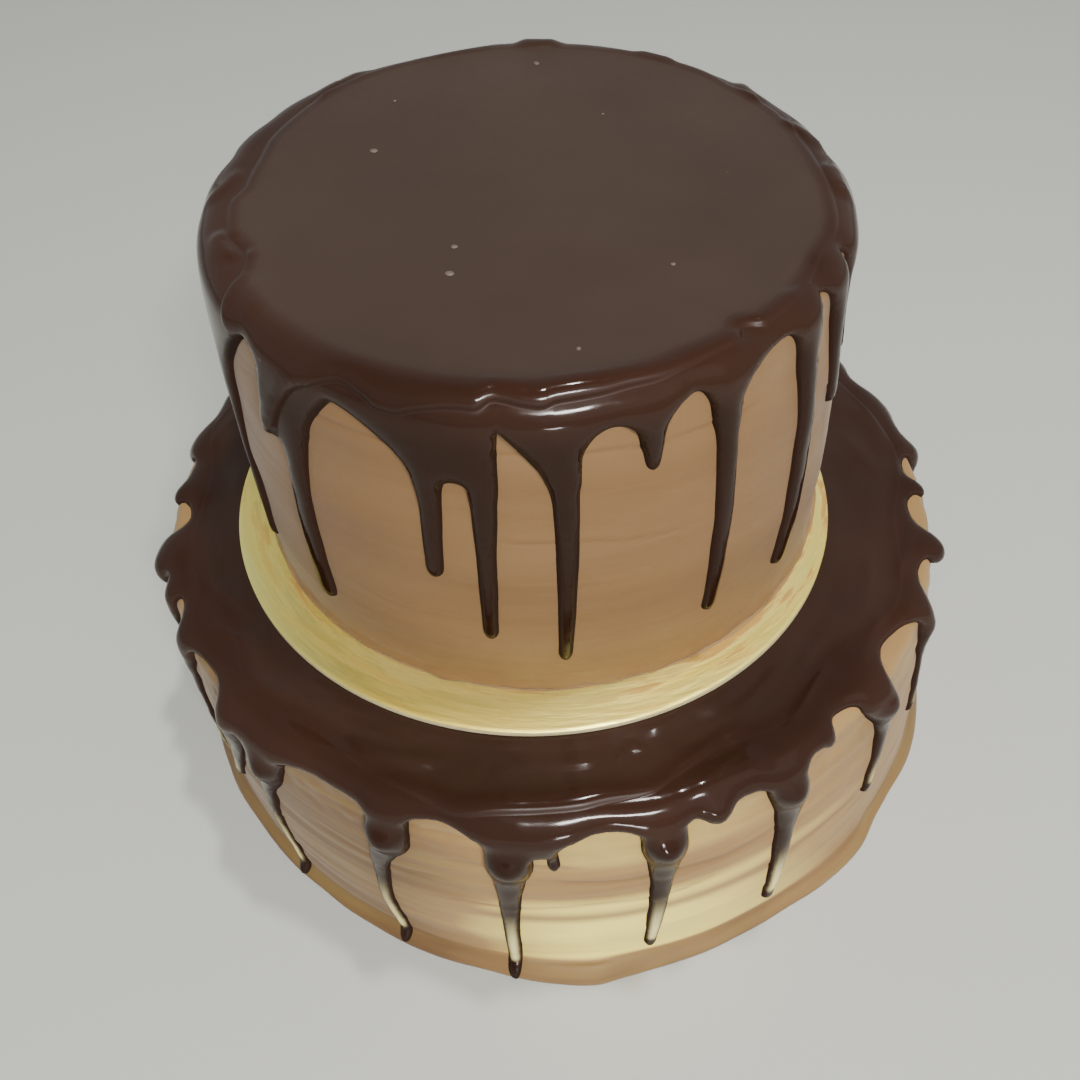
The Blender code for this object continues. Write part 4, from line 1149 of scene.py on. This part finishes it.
FLOOR = 5.0  # metres from the middle to each side
floor_mesh = bpy.data.meshes.new("floor")
corners = [(x * FLOOR, y * FLOOR, 0) for x, y in ((-1, -1), (1, -1), (1, 1), (-1, 1))]
floor_mesh.from_pydata(corners, [], [(0, 1, 2, 3)])
floor_mesh.materials.append(plain_material("floor", (0.42, 0.43, 0.40), 0.8))
floor = bpy.data.objects.new("floor", floor_mesh)
bpy.context.scene.collection.objects.link(floor)

AIM = Vector((0, 0, 0.1))  # what every light points at
for name, place, size, power, colour in (
    ("lamp", (0.18, 0.05, 1.55), (0.14, 0.08), 13, (1.0, 0.98, 0.95)),
    ("front_strip", (0.28, -1.09, 1.13), (0.44, 0.11), 33, (1.0, 0.98, 0.95)),
    ("low_lamp", (0.24, -1.55, 0.14), (0.14, 0.11), 4.6, (1.0, 0.98, 0.95)),
    ("soft_front", (1.5, -2.4, 2.6), (4.0, 3.0), 21, (1.0, 0.98, 0.96)),
):
    data = bpy.data.lights.new(name, "AREA")
    data.shape = "RECTANGLE"
    data.size, data.size_y = size
    data.energy, data.color = power, colour
    light = bpy.data.objects.new(name, data)
    light.location = place
    light.rotation_mode = "QUATERNION"
    light.rotation_quaternion = (AIM - Vector(place)).to_track_quat("-Z", "Y")
    bpy.context.scene.collection.objects.link(light)

world = bpy.data.worlds.new("studio")
world.use_nodes = True
bpy.context.scene.world = world
tree = world.node_tree
height = node(tree, "SeparateXYZ", {0: node(tree, "TexCoord", output="Generated")}, 2)
sky = mix(tree, ramp(tree, height, 0.68, 0.98), (0.92, 0.93, 0.92), (0.30, 0.30, 0.30))
feed(tree, tree.nodes["Background"], {"Color": sky, "Strength": 0.55})

# The photograph's camera: where it stands, how it is turned, and its focal length over its frame's width.
CAMERA_PLACE = Vector((-7.61, -273.56, 359.36))
PITCH, YAW, ROLL = 0.8372, -0.0133, -0.0169
FOCAL = 1133.5 / 1080
camera_data = bpy.data.cameras.new("camera")
camera_data.sensor_width = 36.0
camera_data.lens = FOCAL * camera_data.sensor_width
camera_data.clip_start, camera_data.clip_end = 0.01, 50
camera = bpy.data.objects.new("camera", camera_data)
forward = Vector((math.sin(YAW) * math.cos(PITCH), math.cos(YAW) * math.cos(PITCH), -math.sin(PITCH)))
right = Vector((math.cos(YAW), -math.sin(YAW), 0))
up = right.cross(forward)
across = math.cos(ROLL) * right + math.sin(ROLL) * up
above = -math.sin(ROLL) * right + math.cos(ROLL) * up
turned = Matrix((across, above, -forward)).transposed().to_4x4()
camera.matrix_world = Matrix.Translation(CAMERA_PLACE * MM) @ turned
bpy.context.scene.collection.objects.link(camera)
bpy.context.scene.camera = camera
